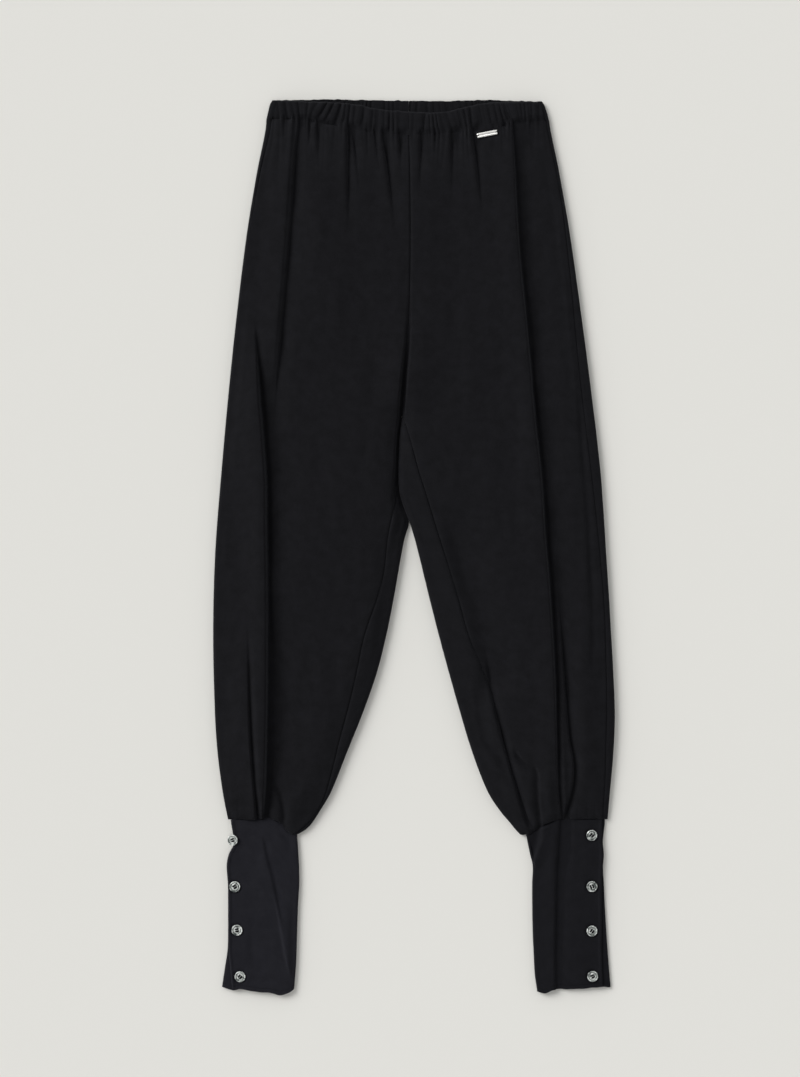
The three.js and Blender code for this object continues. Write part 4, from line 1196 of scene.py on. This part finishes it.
CUFF_CREASES = table(
    CREASE,
    [
        # left: the slanting ridge, the hollow beside it and a dent by the seam
        [
            [(-173, -330), (-170.6, -346), (-163, -377), (-158, -401), (-153, -425), (-149, -440)],
            *[2.1, 1.3, 5, 2, 16, 36],
        ],
        [
            [(-162, -390), (-157, -412), (-151, -444), (-145.5, -475), (-138.5, -498), (-133, -520)],
            *[-2.7, 2.0, 10, 2, 40, 0],
        ],
        [[(-176, -340), (-168, -372), (-162, -401)], -0.9, 18, 3, 2, 20, 30],
        [[(-156, -330), (-147, -335), (-136, -343)], 1.4, 2.6, 3, 2, 8, 5],
        [[(-197, -330), (-200, -345), (-204, -358)], -0.8, 2, 3, 2, 6, 8],
        [[(-190, -430), (-184, -470), (-178, -508)], 0.9, 7, 9, 2, 30, 10],
        [[(-196, -500), (-176, -498), (-156, -503)], 0.6, 4, 4, 2, 14, 14],
        # right: the long hollow, and the fold by the inner edge with the back layer beside it
        [
            [(170, -310), (168, -345), (165.5, -372), (164.5, -430), (164, -500), (165, -520)],
            *[3.4, 2.0, 9, 2, 4, 0],
        ],
        [
            [(167, -308), (165, -345), (162.6, -372), (161.4, -430), (161, -500), (162, -520)],
            *[-1.9, 13, 1.8, 2, 4, 0],
        ],
        [[(173, -310), (171, -350), (170, -410)], 1.8, 6, 12, 2, 2, 60],
        [[(177, -310), (176, -335), (173, -356)], 1.8, 1.5, 4, 2, 2, 14],
        [[(160, -318), (158, -360), (157, -430)], -0.9, 10, 4, 2, 20, 60],
        [[(146, -321), (147.5, -334), (142, -350), (136, -368)], -2.6, 1.1, 8, 2, 2, 4],
        [[(141, -318), (142, -334), (137, -350), (132, -366)], 2.2, 8, 2.0, 2, 0, 4],
    ],
)
CUFF_CLOTH = 1.3
CUFF_ROLL = 2.6
CUFF_TUCK = 1.6  # of the cuff that is sewn inside the leg's gathered edge
UNDERLAP = 19
UNDERLAP_TOP = 2 * CUFF_CLOTH + 0.8
CUFF_TOP = UNDERLAP_TOP + SEAM_GAP + CUFF_CLOTH

BUTTONS = table(
    ["side", "number", "x", "y", "turn", "lean", "lift"],
    [
        ["left", 1, -208, -337, 20, 18, 0.5],
        ["left", 2, -206, -390.5, 35, 0, 0],
        ["left", 3, -203.5, -440.5, 10, 0, 0],
        ["left", 4, -200, -494, 50, 0, 0],
        ["right", 1, 204.4, -331.5, 47, 0, 0],
        ["right", 2, 204.6, -390.3, 112, 0, 0],
        ["right", 3, 204.7, -441.5, 55, 0, 0],
        ["right", 4, 205.4, -493.6, 32, 0, 0],
    ],
)


def cuff_faces(side):
    columns_of = {"under": 14, "turn": 10, "floor": 44, "round": 11, "top": 64}
    part = np.concatenate([[0, 0.003, 0.008], np.linspace(0.014, 0.985, 100), [0.99, 0.995, 1]])[:, None]
    hem = curve_of(CUFF_HEM[side], "y", "x")
    way = inwards[side]

    def cuff_y(x):
        top = LEG_END_Y + CUFF_TUCK - cuff_drop(side, x)
        bottom = hem(x) + 0.5 * uneven(x, 0 * x, 7, 10, 71)
        return top + (bottom - top) * part

    start_y = cuff_y(outer_x[side](LEG_END_Y) + 0 * part)
    end_y = cuff_y(inner_x[side](LEG_END_Y - CUFF_DROP) + 0 * part)
    edge = {name: curve_of(CUFF_EDGES[side], name) for name in ["outer", "lap", "inner"]}
    outer = edge["outer"](start_y)
    lap = edge["lap"](start_y)
    inner = edge["inner"](end_y)
    faces = []
    for wall in (0, CUFF_CLOTH):
        runs = []
        share = np.linspace(0, 1, columns_of["under"])[None, :-1]
        x = outer + way * (UNDERLAP + (CUFF_ROLL - UNDERLAP) * share)
        runs.append((x, UNDERLAP_TOP - wall + 0 * x))
        turn = math.pi / 2 - math.pi * np.linspace(0, 1, columns_of["turn"])[None, :-1]
        x = outer + way * CUFF_ROLL - way * (CUFF_ROLL - wall) * np.cos(turn)
        runs.append((x, UNDERLAP_TOP / 2 + (UNDERLAP_TOP / 2 - wall) * np.sin(turn) + 0 * x))
        share = np.linspace(0, 1, columns_of["floor"])[None, :-1]
        first = outer + way * CUFF_ROLL
        last = inner - way * CUFF_ROLL
        x = first + (last - first) * share
        sag = np.maximum(uneven(x, cuff_y(x), 21, 60, 73), 0)
        sag = sag * smooth(share, 0, 0.1) * smooth(-share, -1, -0.9)
        runs.append((x, wall + 0.8 * sag))
        turn = -math.pi / 2 + math.pi * np.linspace(0, 1, columns_of["round"])[None, :-1]
        x = inner - way * CUFF_ROLL + way * (CUFF_ROLL - wall) * np.cos(turn)
        runs.append((x, CUFF_TOP / 2 + (CUFF_TOP / 2 - wall) * np.sin(turn) + 0 * x))
        share = np.linspace(0, 1, columns_of["top"])[None, :]
        x = last + (lap - last) * share
        y = cuff_y(x)
        clear = smooth(np.abs(x - outer), UNDERLAP, UNDERLAP + 10)
        clear = clear * smooth(np.abs(inner - x), CUFF_ROLL, CUFF_ROLL + 8)
        soft = 0.6 * uneven(x, y, 24, 50, 74) + 0.3 * uneven(x, y, 9, 20, 75)
        height = CUFF_TOP + (creased(x, y, CUFF_CREASES) + soft) * clear
        by_edge = creased(x, y, CUFF_CREASES[-2:]) if side == "right" else 0
        height = height + by_edge * (1 - clear)
        from_seam = (cuff_y(x) - cuff_y(x)[:1]) * -1
        from_hem = cuff_y(x) - cuff_y(x)[-1:]
        height = height - 0.9 * np.exp(-((from_seam / 1.5) ** 2)) * clear
        pull = 0.7 * gather_field(x * 0.7, y, 31) * np.exp(-from_seam / 9) * clear
        height = height + pull
        height = height + 0.22 * smooth(5.5 - from_hem, 0, 0.8)
        height = height - 0.35 * np.exp(-(((from_hem - 5.6) / 0.7) ** 2))
        to_lap = np.abs(x - lap)
        height = height + 1.2 * np.exp(-(((to_lap - 1.7) / 1.2) ** 2)) * smooth(from_hem, 0, 6)
        for button in BUTTONS:
            away = np.hypot(x - button["x"], y - button["y"])
            height = height - 2.0 * np.exp(-((away / 7.5) ** 8))
        runs.append((x, np.maximum(height, 2.9) - wall))
        x = np.concatenate([run[0] + 0 * part for run in runs], axis=1)
        z = np.concatenate([run[1] + 0 * part for run in runs], axis=1)
        tucked = 1 - smooth(np.abs(cuff_y(x) - cuff_y(x)[:1]), CUFF_TUCK * 0.6, CUFF_TUCK + 1.4)
        z = z + tucked * (2.5 + 0.42 * (z - 2.5) - z)
        middle = (outer + inner) / 2
        x = x + tucked * 0.012 * (middle - x)
        faces.append(np.stack([x, cuff_y(x), z], axis=-1))
    faces[1][..., 1] = faces[0][..., 1]
    return faces


cuff_grids = {}
for side in SIDES:
    cuff_grids[side] = cuff_faces(side)
    cuff = cloth_shell(f"crepe_cuff_{side}", cuff_grids[side], CUFF_CREPE[side])
    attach(cuff, "root")
    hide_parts(f"cuff_{side}")


# The buttons: turned from grey river shell, with a raised rim, a ring cut inside it and four
# holes. Shell is hard and polished, with soft cloudy layers that give it a pale glow.
shell, tree = new_material("polished grey shell")
place = add_node(tree, "ShaderNodeTexCoord")
clouds = add_node(
    tree,
    "ShaderNodeTexNoise",
    {"Vector": place.outputs["Object"], "Scale": 150.0, "Detail": 4.0, "Distortion": 1.8},
)
layers = add_node(tree, "ShaderNodeValToRGB", {"Fac": clouds.outputs["Fac"]})
layers.color_ramp.elements[0].position = 0.37
layers.color_ramp.elements[0].color = linear("#333c39")
layers.color_ramp.elements[1].position = 0.66
layers.color_ramp.elements[1].color = linear("#eef2ee")
shell_shader = add_node(
    tree,
    "ShaderNodeBsdfPrincipled",
    {
        "Base Color": layers.outputs["Color"],
        "Roughness": 0.28,
        "IOR": 1.53,
        "Coat Weight": 0.3,
        "Coat Roughness": 0.12,
    },
)
surface_of(tree, shell_shader)

thread_finish, tree = new_material("black polyester thread")
place = add_node(tree, "ShaderNodeTexCoord")
ply = add_node(
    tree,
    "ShaderNodeTexNoise",
    {"Vector": place.outputs["Object"], "Scale": 3000.0, "Detail": 1.0},
)
ply_bump = add_node(
    tree,
    "ShaderNodeBump",
    {"Height": ply.outputs["Fac"], "Strength": 0.4, "Distance": 0.0002},
)
thread_shader = add_node(
    tree,
    "ShaderNodeBsdfPrincipled",
    {
        "Base Color": linear("#060607"),
        "Roughness": 0.8,
        "Specular IOR Level": 0.08,
        "Normal": ply_bump.outputs["Normal"],
    },
)
surface_of(tree, thread_shader)

BUTTON_PROFILE = [  # radius and height in millimetres, from the middle of the back to the front
    (0.0, 0.0),
    (3.4, 0.0),
    (4.7, 0.15),
    (5.6, 0.7),
    (6.15, 1.4),
    (6.25, 1.8),
    (6.1, 2.2),
    (5.8, 2.5),
    (5.45, 2.6),
    (5.1, 2.4),
    (4.95, 1.8),
    (4.8, 0.8),
    (4.45, 0.6),
    (4.1, 0.8),
    (3.9, 1.75),
    (3.6, 1.95),
    (3.2, 1.85),
]
BUTTON_HOLE = 1.05
BUTTON_HOLE_REACH = 1.85

# A lathe of the profile, with its middle filled by a plate that four holes go through.
def button_mesh():
    around = 40
    points = []
    faces = []
    for radius, height in BUTTON_PROFILE[1:]:
        for k in range(around):
            angle = 2 * math.pi * k / around
            points.append((radius * math.cos(angle), radius * math.sin(angle), height))
    rings = len(BUTTON_PROFILE) - 1
    for ring in range(rings - 1):
        for k in range(around):
            a = ring * around + k
            b = ring * around + (k + 1) % around
            faces.append((a, b, b + around, a + around))
    # each quarter of the middle runs from its hole's ring out to the lathe's last ring
    per_hole = 16
    quarter = around // 4
    for top in (True, False):
        ring_start = (rings - 1) * around if top else 0
        height = 1.8 if top else 0.0
        centre = len(points)
        points.append((0, 0, height))
        spokes = []
        for q in range(4):
            spoke = []
            for reach in (0.55, 2.3):
                angle = math.pi / 2 * q
                spoke.append(len(points))
                points.append((reach * math.cos(angle), reach * math.sin(angle), height))
            spokes.append(spoke)
        for q in range(4):
            middle = math.pi / 2 * (q + 0.5)
            hole = []
            for k in range(per_hole):
                angle = middle + math.pi + 2 * math.pi * k / per_hole
                x = BUTTON_HOLE_REACH * math.cos(middle) + BUTTON_HOLE * math.cos(angle)
                y = BUTTON_HOLE_REACH * math.sin(middle) + BUTTON_HOLE * math.sin(angle)
                hole.append(len(points))
                points.append((x, y, height))
            rim = [ring_start + (q * quarter + k) % around for k in range(quarter + 1)]
            near, far = spokes[q]
            next_near, next_far = spokes[(q + 1) % 4]
            # the outline goes round the quarter from the button's middle
            outline = [centre, near, far, *rim, next_far, next_near]
            faces.append(("holed", outline, hole))
    return points, faces


def filled_button():
    points, faces = button_mesh()
    build = bmesh.new()
    verts = [build.verts.new(Vector(p) / 1000) for p in points]
    hole_rings = []
    for face in faces:
        if face[0] != "holed":
            build.faces.new([verts[i] for i in face])
            continue
        _, outline, hole = face
        edges = []
        for ring in (outline, hole):
            for a, b in zip(ring, ring[1:] + ring[:1]):
                edge = build.edges.get((verts[a], verts[b])) or build.edges.new((verts[a], verts[b]))
                edges.append(edge)
        bmesh.ops.triangle_fill(build, use_beauty=True, use_dissolve=False, edges=edges)
        hole_rings.append(hole)
    for upper, lower in zip(hole_rings[:4], hole_rings[4:]):
        count = len(upper)
        for k in range(count):
            n = (k + 1) % count
            build.faces.new([verts[upper[k]], verts[upper[n]], verts[lower[n]], verts[lower[k]]])
    bmesh.ops.recalc_face_normals(build, faces=build.faces)
    return build


def placed(mesh_builder, matrix, name, material):
    mesh = bpy.data.meshes.new(name)
    copy = mesh_builder.copy()
    copy.transform(matrix)
    copy.to_mesh(mesh)
    copy.free()
    mesh.materials.append(material)
    piece = bpy.data.objects.new(name, mesh)
    bpy.context.collection.objects.link(piece)
    return piece


BUTTON_SINK = 1.1
button_shape = filled_button()
button_places = {}
for button in BUTTONS:
    name = f"button_{button['side']}_{button['number']}"
    seat = Vector((button["x"], button["y"], CUFF_TOP - BUTTON_SINK + button["lift"])) / 1000
    turn = Matrix.Rotation(-math.radians(button["lean"]), 4, "Y") @ Matrix.Rotation(
        math.radians(button["turn"]), 4, "Z"
    )
    matrix = Matrix.Translation(seat) @ turn
    button_places[name] = matrix
    piece = placed(button_shape, matrix, f"shell_{name}", shell)
    piece.data.polygons.foreach_set("use_smooth", [True] * len(piece.data.polygons))
    piece.data.set_sharp_from_angle(angle=math.radians(38))
    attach(piece, "root")
    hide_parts(name)
button_shape.free()


# The thread of each button: two doubled stitches across its four holes, with a short shank of
# thread down to the cloth. It is plain black polyester, wound tight.
def strand(points, radius, sides=8):
    path = [Vector(p) for p in points]
    rings = []
    for i, point in enumerate(path):
        ahead = path[min(i + 1, len(path) - 1)] - path[max(i - 1, 0)]
        facing = ahead.to_track_quat("Z", "Y").to_matrix()
        ring = []
        for k in range(sides):
            angle = 2 * math.pi * k / sides
            out = facing @ Vector((math.cos(angle), math.sin(angle), 0))
            ring.append(point + radius * out)
        rings.append(ring)
    verts = [v for ring in rings for v in ring]
    faces = []
    for i in range(len(rings) - 1):
        for k in range(sides):
            a = i * sides + k
            b = i * sides + (k + 1) % sides
            faces.append((a, b, b + sides, a + sides))
    faces.append(tuple(range(sides))[::-1])
    faces.append(tuple(len(verts) - sides + k for k in range(sides)))
    return verts, faces


def joined_strands(name, strands, matrix, material):
    verts = []
    faces = []
    for strand_verts, strand_faces in strands:
        first = len(verts)
        verts.extend(tuple(matrix @ (Vector(v) / 1000)) for v in strand_verts)
        faces.extend(tuple(first + i for i in face) for face in strand_faces)
    mesh = bpy.data.meshes.new(name)
    mesh.from_pydata(verts, [], faces)
    mesh.polygons.foreach_set("use_smooth", [True] * len(faces))
    mesh.materials.append(material)
    piece = bpy.data.objects.new(name, mesh)
    bpy.context.collection.objects.link(piece)
    return piece


def button_thread():
    reach = BUTTON_HOLE_REACH / math.sqrt(2)
    strands = []
    for row in (-1, 1):
        for ply in (-0.4, 0.4):
            y = row * reach + ply
            path = [(-reach, y, -0.9), (-reach, y, 1.2), (-reach + 0.25, y, 2.0), (0, y, 2.25)]
            path += [(reach - 0.25, y, 2.0), (reach, y, 1.2), (reach, y, -0.9)]
            strands.append(strand(path, 0.48))
    return strands


for name, matrix in button_places.items():
    sewing = joined_strands(f"thread_{name}", button_thread(), matrix, thread_finish)
    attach(sewing, "root")


# The hems' stitches: one row of machine stitches round each cuff, 4.8 mm over its edge, in the
# same black thread. One stitch is repeated along the row and sinks a little into the cloth.
def stitch_tree():
    tree = bpy.data.node_groups.new("row of stitches", "GeometryNodeTree")
    sockets = {}
    for name, kind in [
        ("Geometry", "NodeSocketGeometry"),
        ("Pitch", "NodeSocketFloat"),
        ("Stitch Length", "NodeSocketFloat"),
        ("Thread Radius", "NodeSocketFloat"),
        ("Thread", "NodeSocketMaterial"),
    ]:
        sockets[name] = tree.interface.new_socket(name, in_out="INPUT", socket_type=kind)
    tree.interface.new_socket("Geometry", in_out="OUTPUT", socket_type="NodeSocketGeometry")
    given = add_node(tree, "NodeGroupInput").outputs
    line = add_node(tree, "GeometryNodeMeshToCurve", {"Mesh": given["Geometry"]})
    row = add_node(
        tree,
        "GeometryNodeResampleCurve",
        {"Curve": line.outputs[0], "Length": given["Pitch"]},
        mode="LENGTH",
    )
    thread = add_node(tree, "GeometryNodeMeshUVSphere", {"Segments": 8, "Rings": 6, "Radius": 1.0})
    half = add_node(
        tree,
        "ShaderNodeMath",
        {0: given["Stitch Length"], 1: 0.5},
        operation="MULTIPLY",
    )
    size = add_node(
        tree,
        "ShaderNodeCombineXYZ",
        {"X": half.outputs[0], "Y": given["Thread Radius"], "Z": given["Thread Radius"]},
    )
    tangent = add_node(tree, "GeometryNodeInputTangent")
    along = add_node(
        tree,
        "FunctionNodeAlignRotationToVector",
        {"Vector": tangent.outputs[0]},
        axis="X",
    )
    stitches = add_node(
        tree,
        "GeometryNodeInstanceOnPoints",
        {
            "Points": row.outputs[0],
            "Instance": thread.outputs["Mesh"],
            "Rotation": along.outputs[0],
            "Scale": size.outputs[0],
        },
    )
    real = add_node(tree, "GeometryNodeRealizeInstances", {"Geometry": stitches.outputs[0]})
    finished = add_node(
        tree,
        "GeometryNodeSetMaterial",
        {"Geometry": real.outputs[0], "Material": given["Thread"]},
    )
    add_node(tree, "NodeGroupOutput", {"Geometry": finished.outputs[0]})
    return tree, sockets


HEM_STITCH_Y = 4.8
HEM_STITCHES = {"Pitch": 0.0026, "Stitch Length": 0.0021, "Thread Radius": 0.00022}
hem_tree, hem_sockets = stitch_tree()
for side in SIDES:
    outer_face = cuff_grids[side][0]
    round_hem = []
    for column in range(13, outer_face.shape[1]):
        up = outer_face[::-1, column]
        at = up[0, 1] + HEM_STITCH_Y
        round_hem.append([np.interp(at, up[:, 1], up[:, k]) for k in range(3)])
    round_hem = np.array(round_hem) / 1000
    mesh = bpy.data.meshes.new(f"thread_hem_{side}")
    mesh.from_pydata(round_hem.tolist(), [(i, i + 1) for i in range(len(round_hem) - 1)], [])
    stitching = bpy.data.objects.new(f"thread_hem_{side}", mesh)
    bpy.context.collection.objects.link(stitching)
    repeat = stitching.modifiers.new("stitches", "NODES")
    repeat.node_group = hem_tree
    for name, value in HEM_STITCHES.items():
        repeat[hem_sockets[name].identifier] = value
    repeat[hem_sockets["Thread"].identifier] = thread_finish
    bpy.context.view_layer.update()
    graph = bpy.context.evaluated_depsgraph_get()
    stitching.data = bpy.data.meshes.new_from_object(stitching.evaluated_get(graph))
    stitching.modifiers.clear()
    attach(stitching, "root")


# The trim plate: a small bar stamped from sheet steel, softly domed and nickel plated, sewn on
# below the waistband through a hole at each end. Its face is bare.
nickel, tree = new_material("satin nickel plate")
place = add_node(tree, "ShaderNodeTexCoord")
lay = add_node(
    tree,
    "ShaderNodeMapping",
    {"Vector": place.outputs["Object"], "Rotation": (0, 0, -math.radians(11)), "Scale": (300, 6000, 6000)},
)
brushed = add_node(tree, "ShaderNodeTexNoise", {"Vector": lay.outputs[0], "Scale": 1.0, "Detail": 2.0})
gloss = add_node(
    tree,
    "ShaderNodeMapRange",
    {"Value": brushed.outputs["Fac"], "To Min": 0.3, "To Max": 0.42},
)
nickel_shader = add_node(
    tree,
    "ShaderNodeBsdfPrincipled",
    {"Base Color": linear("#f2f1ed"), "Metallic": 1.0, "Roughness": gloss.outputs[0]},
)
surface_of(tree, nickel_shader)

PLATE_THICKNESS = 0.9
PLATE_SINK = 0.7
PLATE_HOLE = 0.75
PLATE_HOLE_INSET = 1.8
plate_seat = Vector((*PLATE_MIDDLE, plate_floor - PLATE_SINK)) / 1000
plate_matrix = Matrix.Translation(plate_seat) @ Matrix.Rotation(PLATE_TURN, 4, "Z")


def plate_shape():
    build = bmesh.new()
    columns = 48
    rows = 16
    grids = []
    for upper in (True, False):
        grid = []
        for i in range(columns + 1):
            line = []
            for j in range(rows + 1):
                u = 2 * i / columns - 1
                v = 2 * j / rows - 1
                # a rounded rectangle from a square of points
                x = PLATE_LENGTH / 2 * math.sin(math.pi / 2 * u * 0.92) / math.sin(math.pi / 2 * 0.92)
                y = PLATE_WIDTH / 2 * math.sin(math.pi / 2 * v * 0.9) / math.sin(math.pi / 2 * 0.9)
                from_end = PLATE_LENGTH / 2 - abs(x)
                from_side = PLATE_WIDTH / 2 - abs(y)
                corner = 0.9
                if from_end < corner and from_side < corner:
                    dx = corner - from_end
                    dy = corner - from_side
                    far = math.hypot(dx, dy)
                    limit = max(dx, dy)
                    if far > 0:
                        x = math.copysign(PLATE_LENGTH / 2 - corner + dx * limit / far, x)
                        y = math.copysign(PLATE_WIDTH / 2 - corner + dy * limit / far, y)
                near = min(from_end, from_side)
                dome = 0.85 * (1 - (2 * y / PLATE_WIDTH) ** 2)
                bevel = 0.35 * (1 - min(near / 0.5, 1)) ** 2
                z = PLATE_THICKNESS - 0.35 + dome - bevel if upper else 0.0
                line.append(build.verts.new(Vector((x, y, z)) / 1000))
            grid.append(line)
        grids.append(grid)
    for grid in grids:
        for i in range(columns):
            for j in range(rows):
                build.faces.new([grid[i][j], grid[i + 1][j], grid[i + 1][j + 1], grid[i][j + 1]])
    upper, lower = grids
    around = [(i, 0) for i in range(columns)] + [(columns, j) for j in range(rows)]
    around += [(i, rows) for i in range(columns, 0, -1)] + [(0, j) for j in range(rows, 0, -1)]
    for (i, j), (k, m) in zip(around, around[1:] + around[:1]):
        build.faces.new([upper[i][j], upper[k][m], lower[k][m], lower[i][j]])
    bmesh.ops.recalc_face_normals(build, faces=build.faces)
    return build


plate_build = plate_shape()
plate = placed(plate_build, plate_matrix, "plate_bar", nickel)
plate_build.free()


def drilled(piece, matrix, spots, radius):
    drills = bmesh.new()
    for spot in spots:
        place = matrix @ Matrix.Translation(Vector(spot) / 1000)
        size = radius / 1000
        bmesh.ops.create_cone(
            drills,
            cap_ends=True,
            segments=20,
            radius1=size,
            radius2=size,
            depth=0.01,
            matrix=place,
        )
    mesh = bpy.data.meshes.new("drills")
    drills.to_mesh(mesh)
    drills.free()
    cutter = bpy.data.objects.new("drills", mesh)
    bpy.context.collection.objects.link(cutter)
    cut = piece.modifiers.new("holes", "BOOLEAN")
    cut.object = cutter
    cut.solver = "EXACT"
    bpy.context.view_layer.update()
    graph = bpy.context.evaluated_depsgraph_get()
    done = bpy.data.meshes.new_from_object(piece.evaluated_get(graph))
    piece.modifiers.clear()
    piece.data = done
    bpy.data.objects.remove(cutter)


hole_reach = PLATE_LENGTH / 2 - PLATE_HOLE_INSET
drilled(plate, plate_matrix, [(-hole_reach, 0, 0), (hole_reach, 0, 0)], PLATE_HOLE)
plate_strands = []
for end in (-1, 1):
    for y in (-0.2, 0.2):
        path = [(hole_reach, y, -0.5), (hole_reach, y, 0.6), (hole_reach + 0.4, y, 1.1)]
        path += [(hole_reach + 1.4, y, 1.0), (hole_reach + 1.95, y, 0.3), (hole_reach + 2.0, y, -0.8)]
        plate_strands.append(strand([(end * x, across, z + 0.35) for x, across, z in path], 0.24))
plate_thread = joined_strands("thread_metal_plate", plate_strands, plate_matrix, thread_finish)
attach(plate_thread, "root")
plate.data.polygons.foreach_set("use_smooth", [True] * len(plate.data.polygons))
plate.data.set_sharp_from_angle(angle=math.radians(50))
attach(plate, "root")
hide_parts("metal_plate")
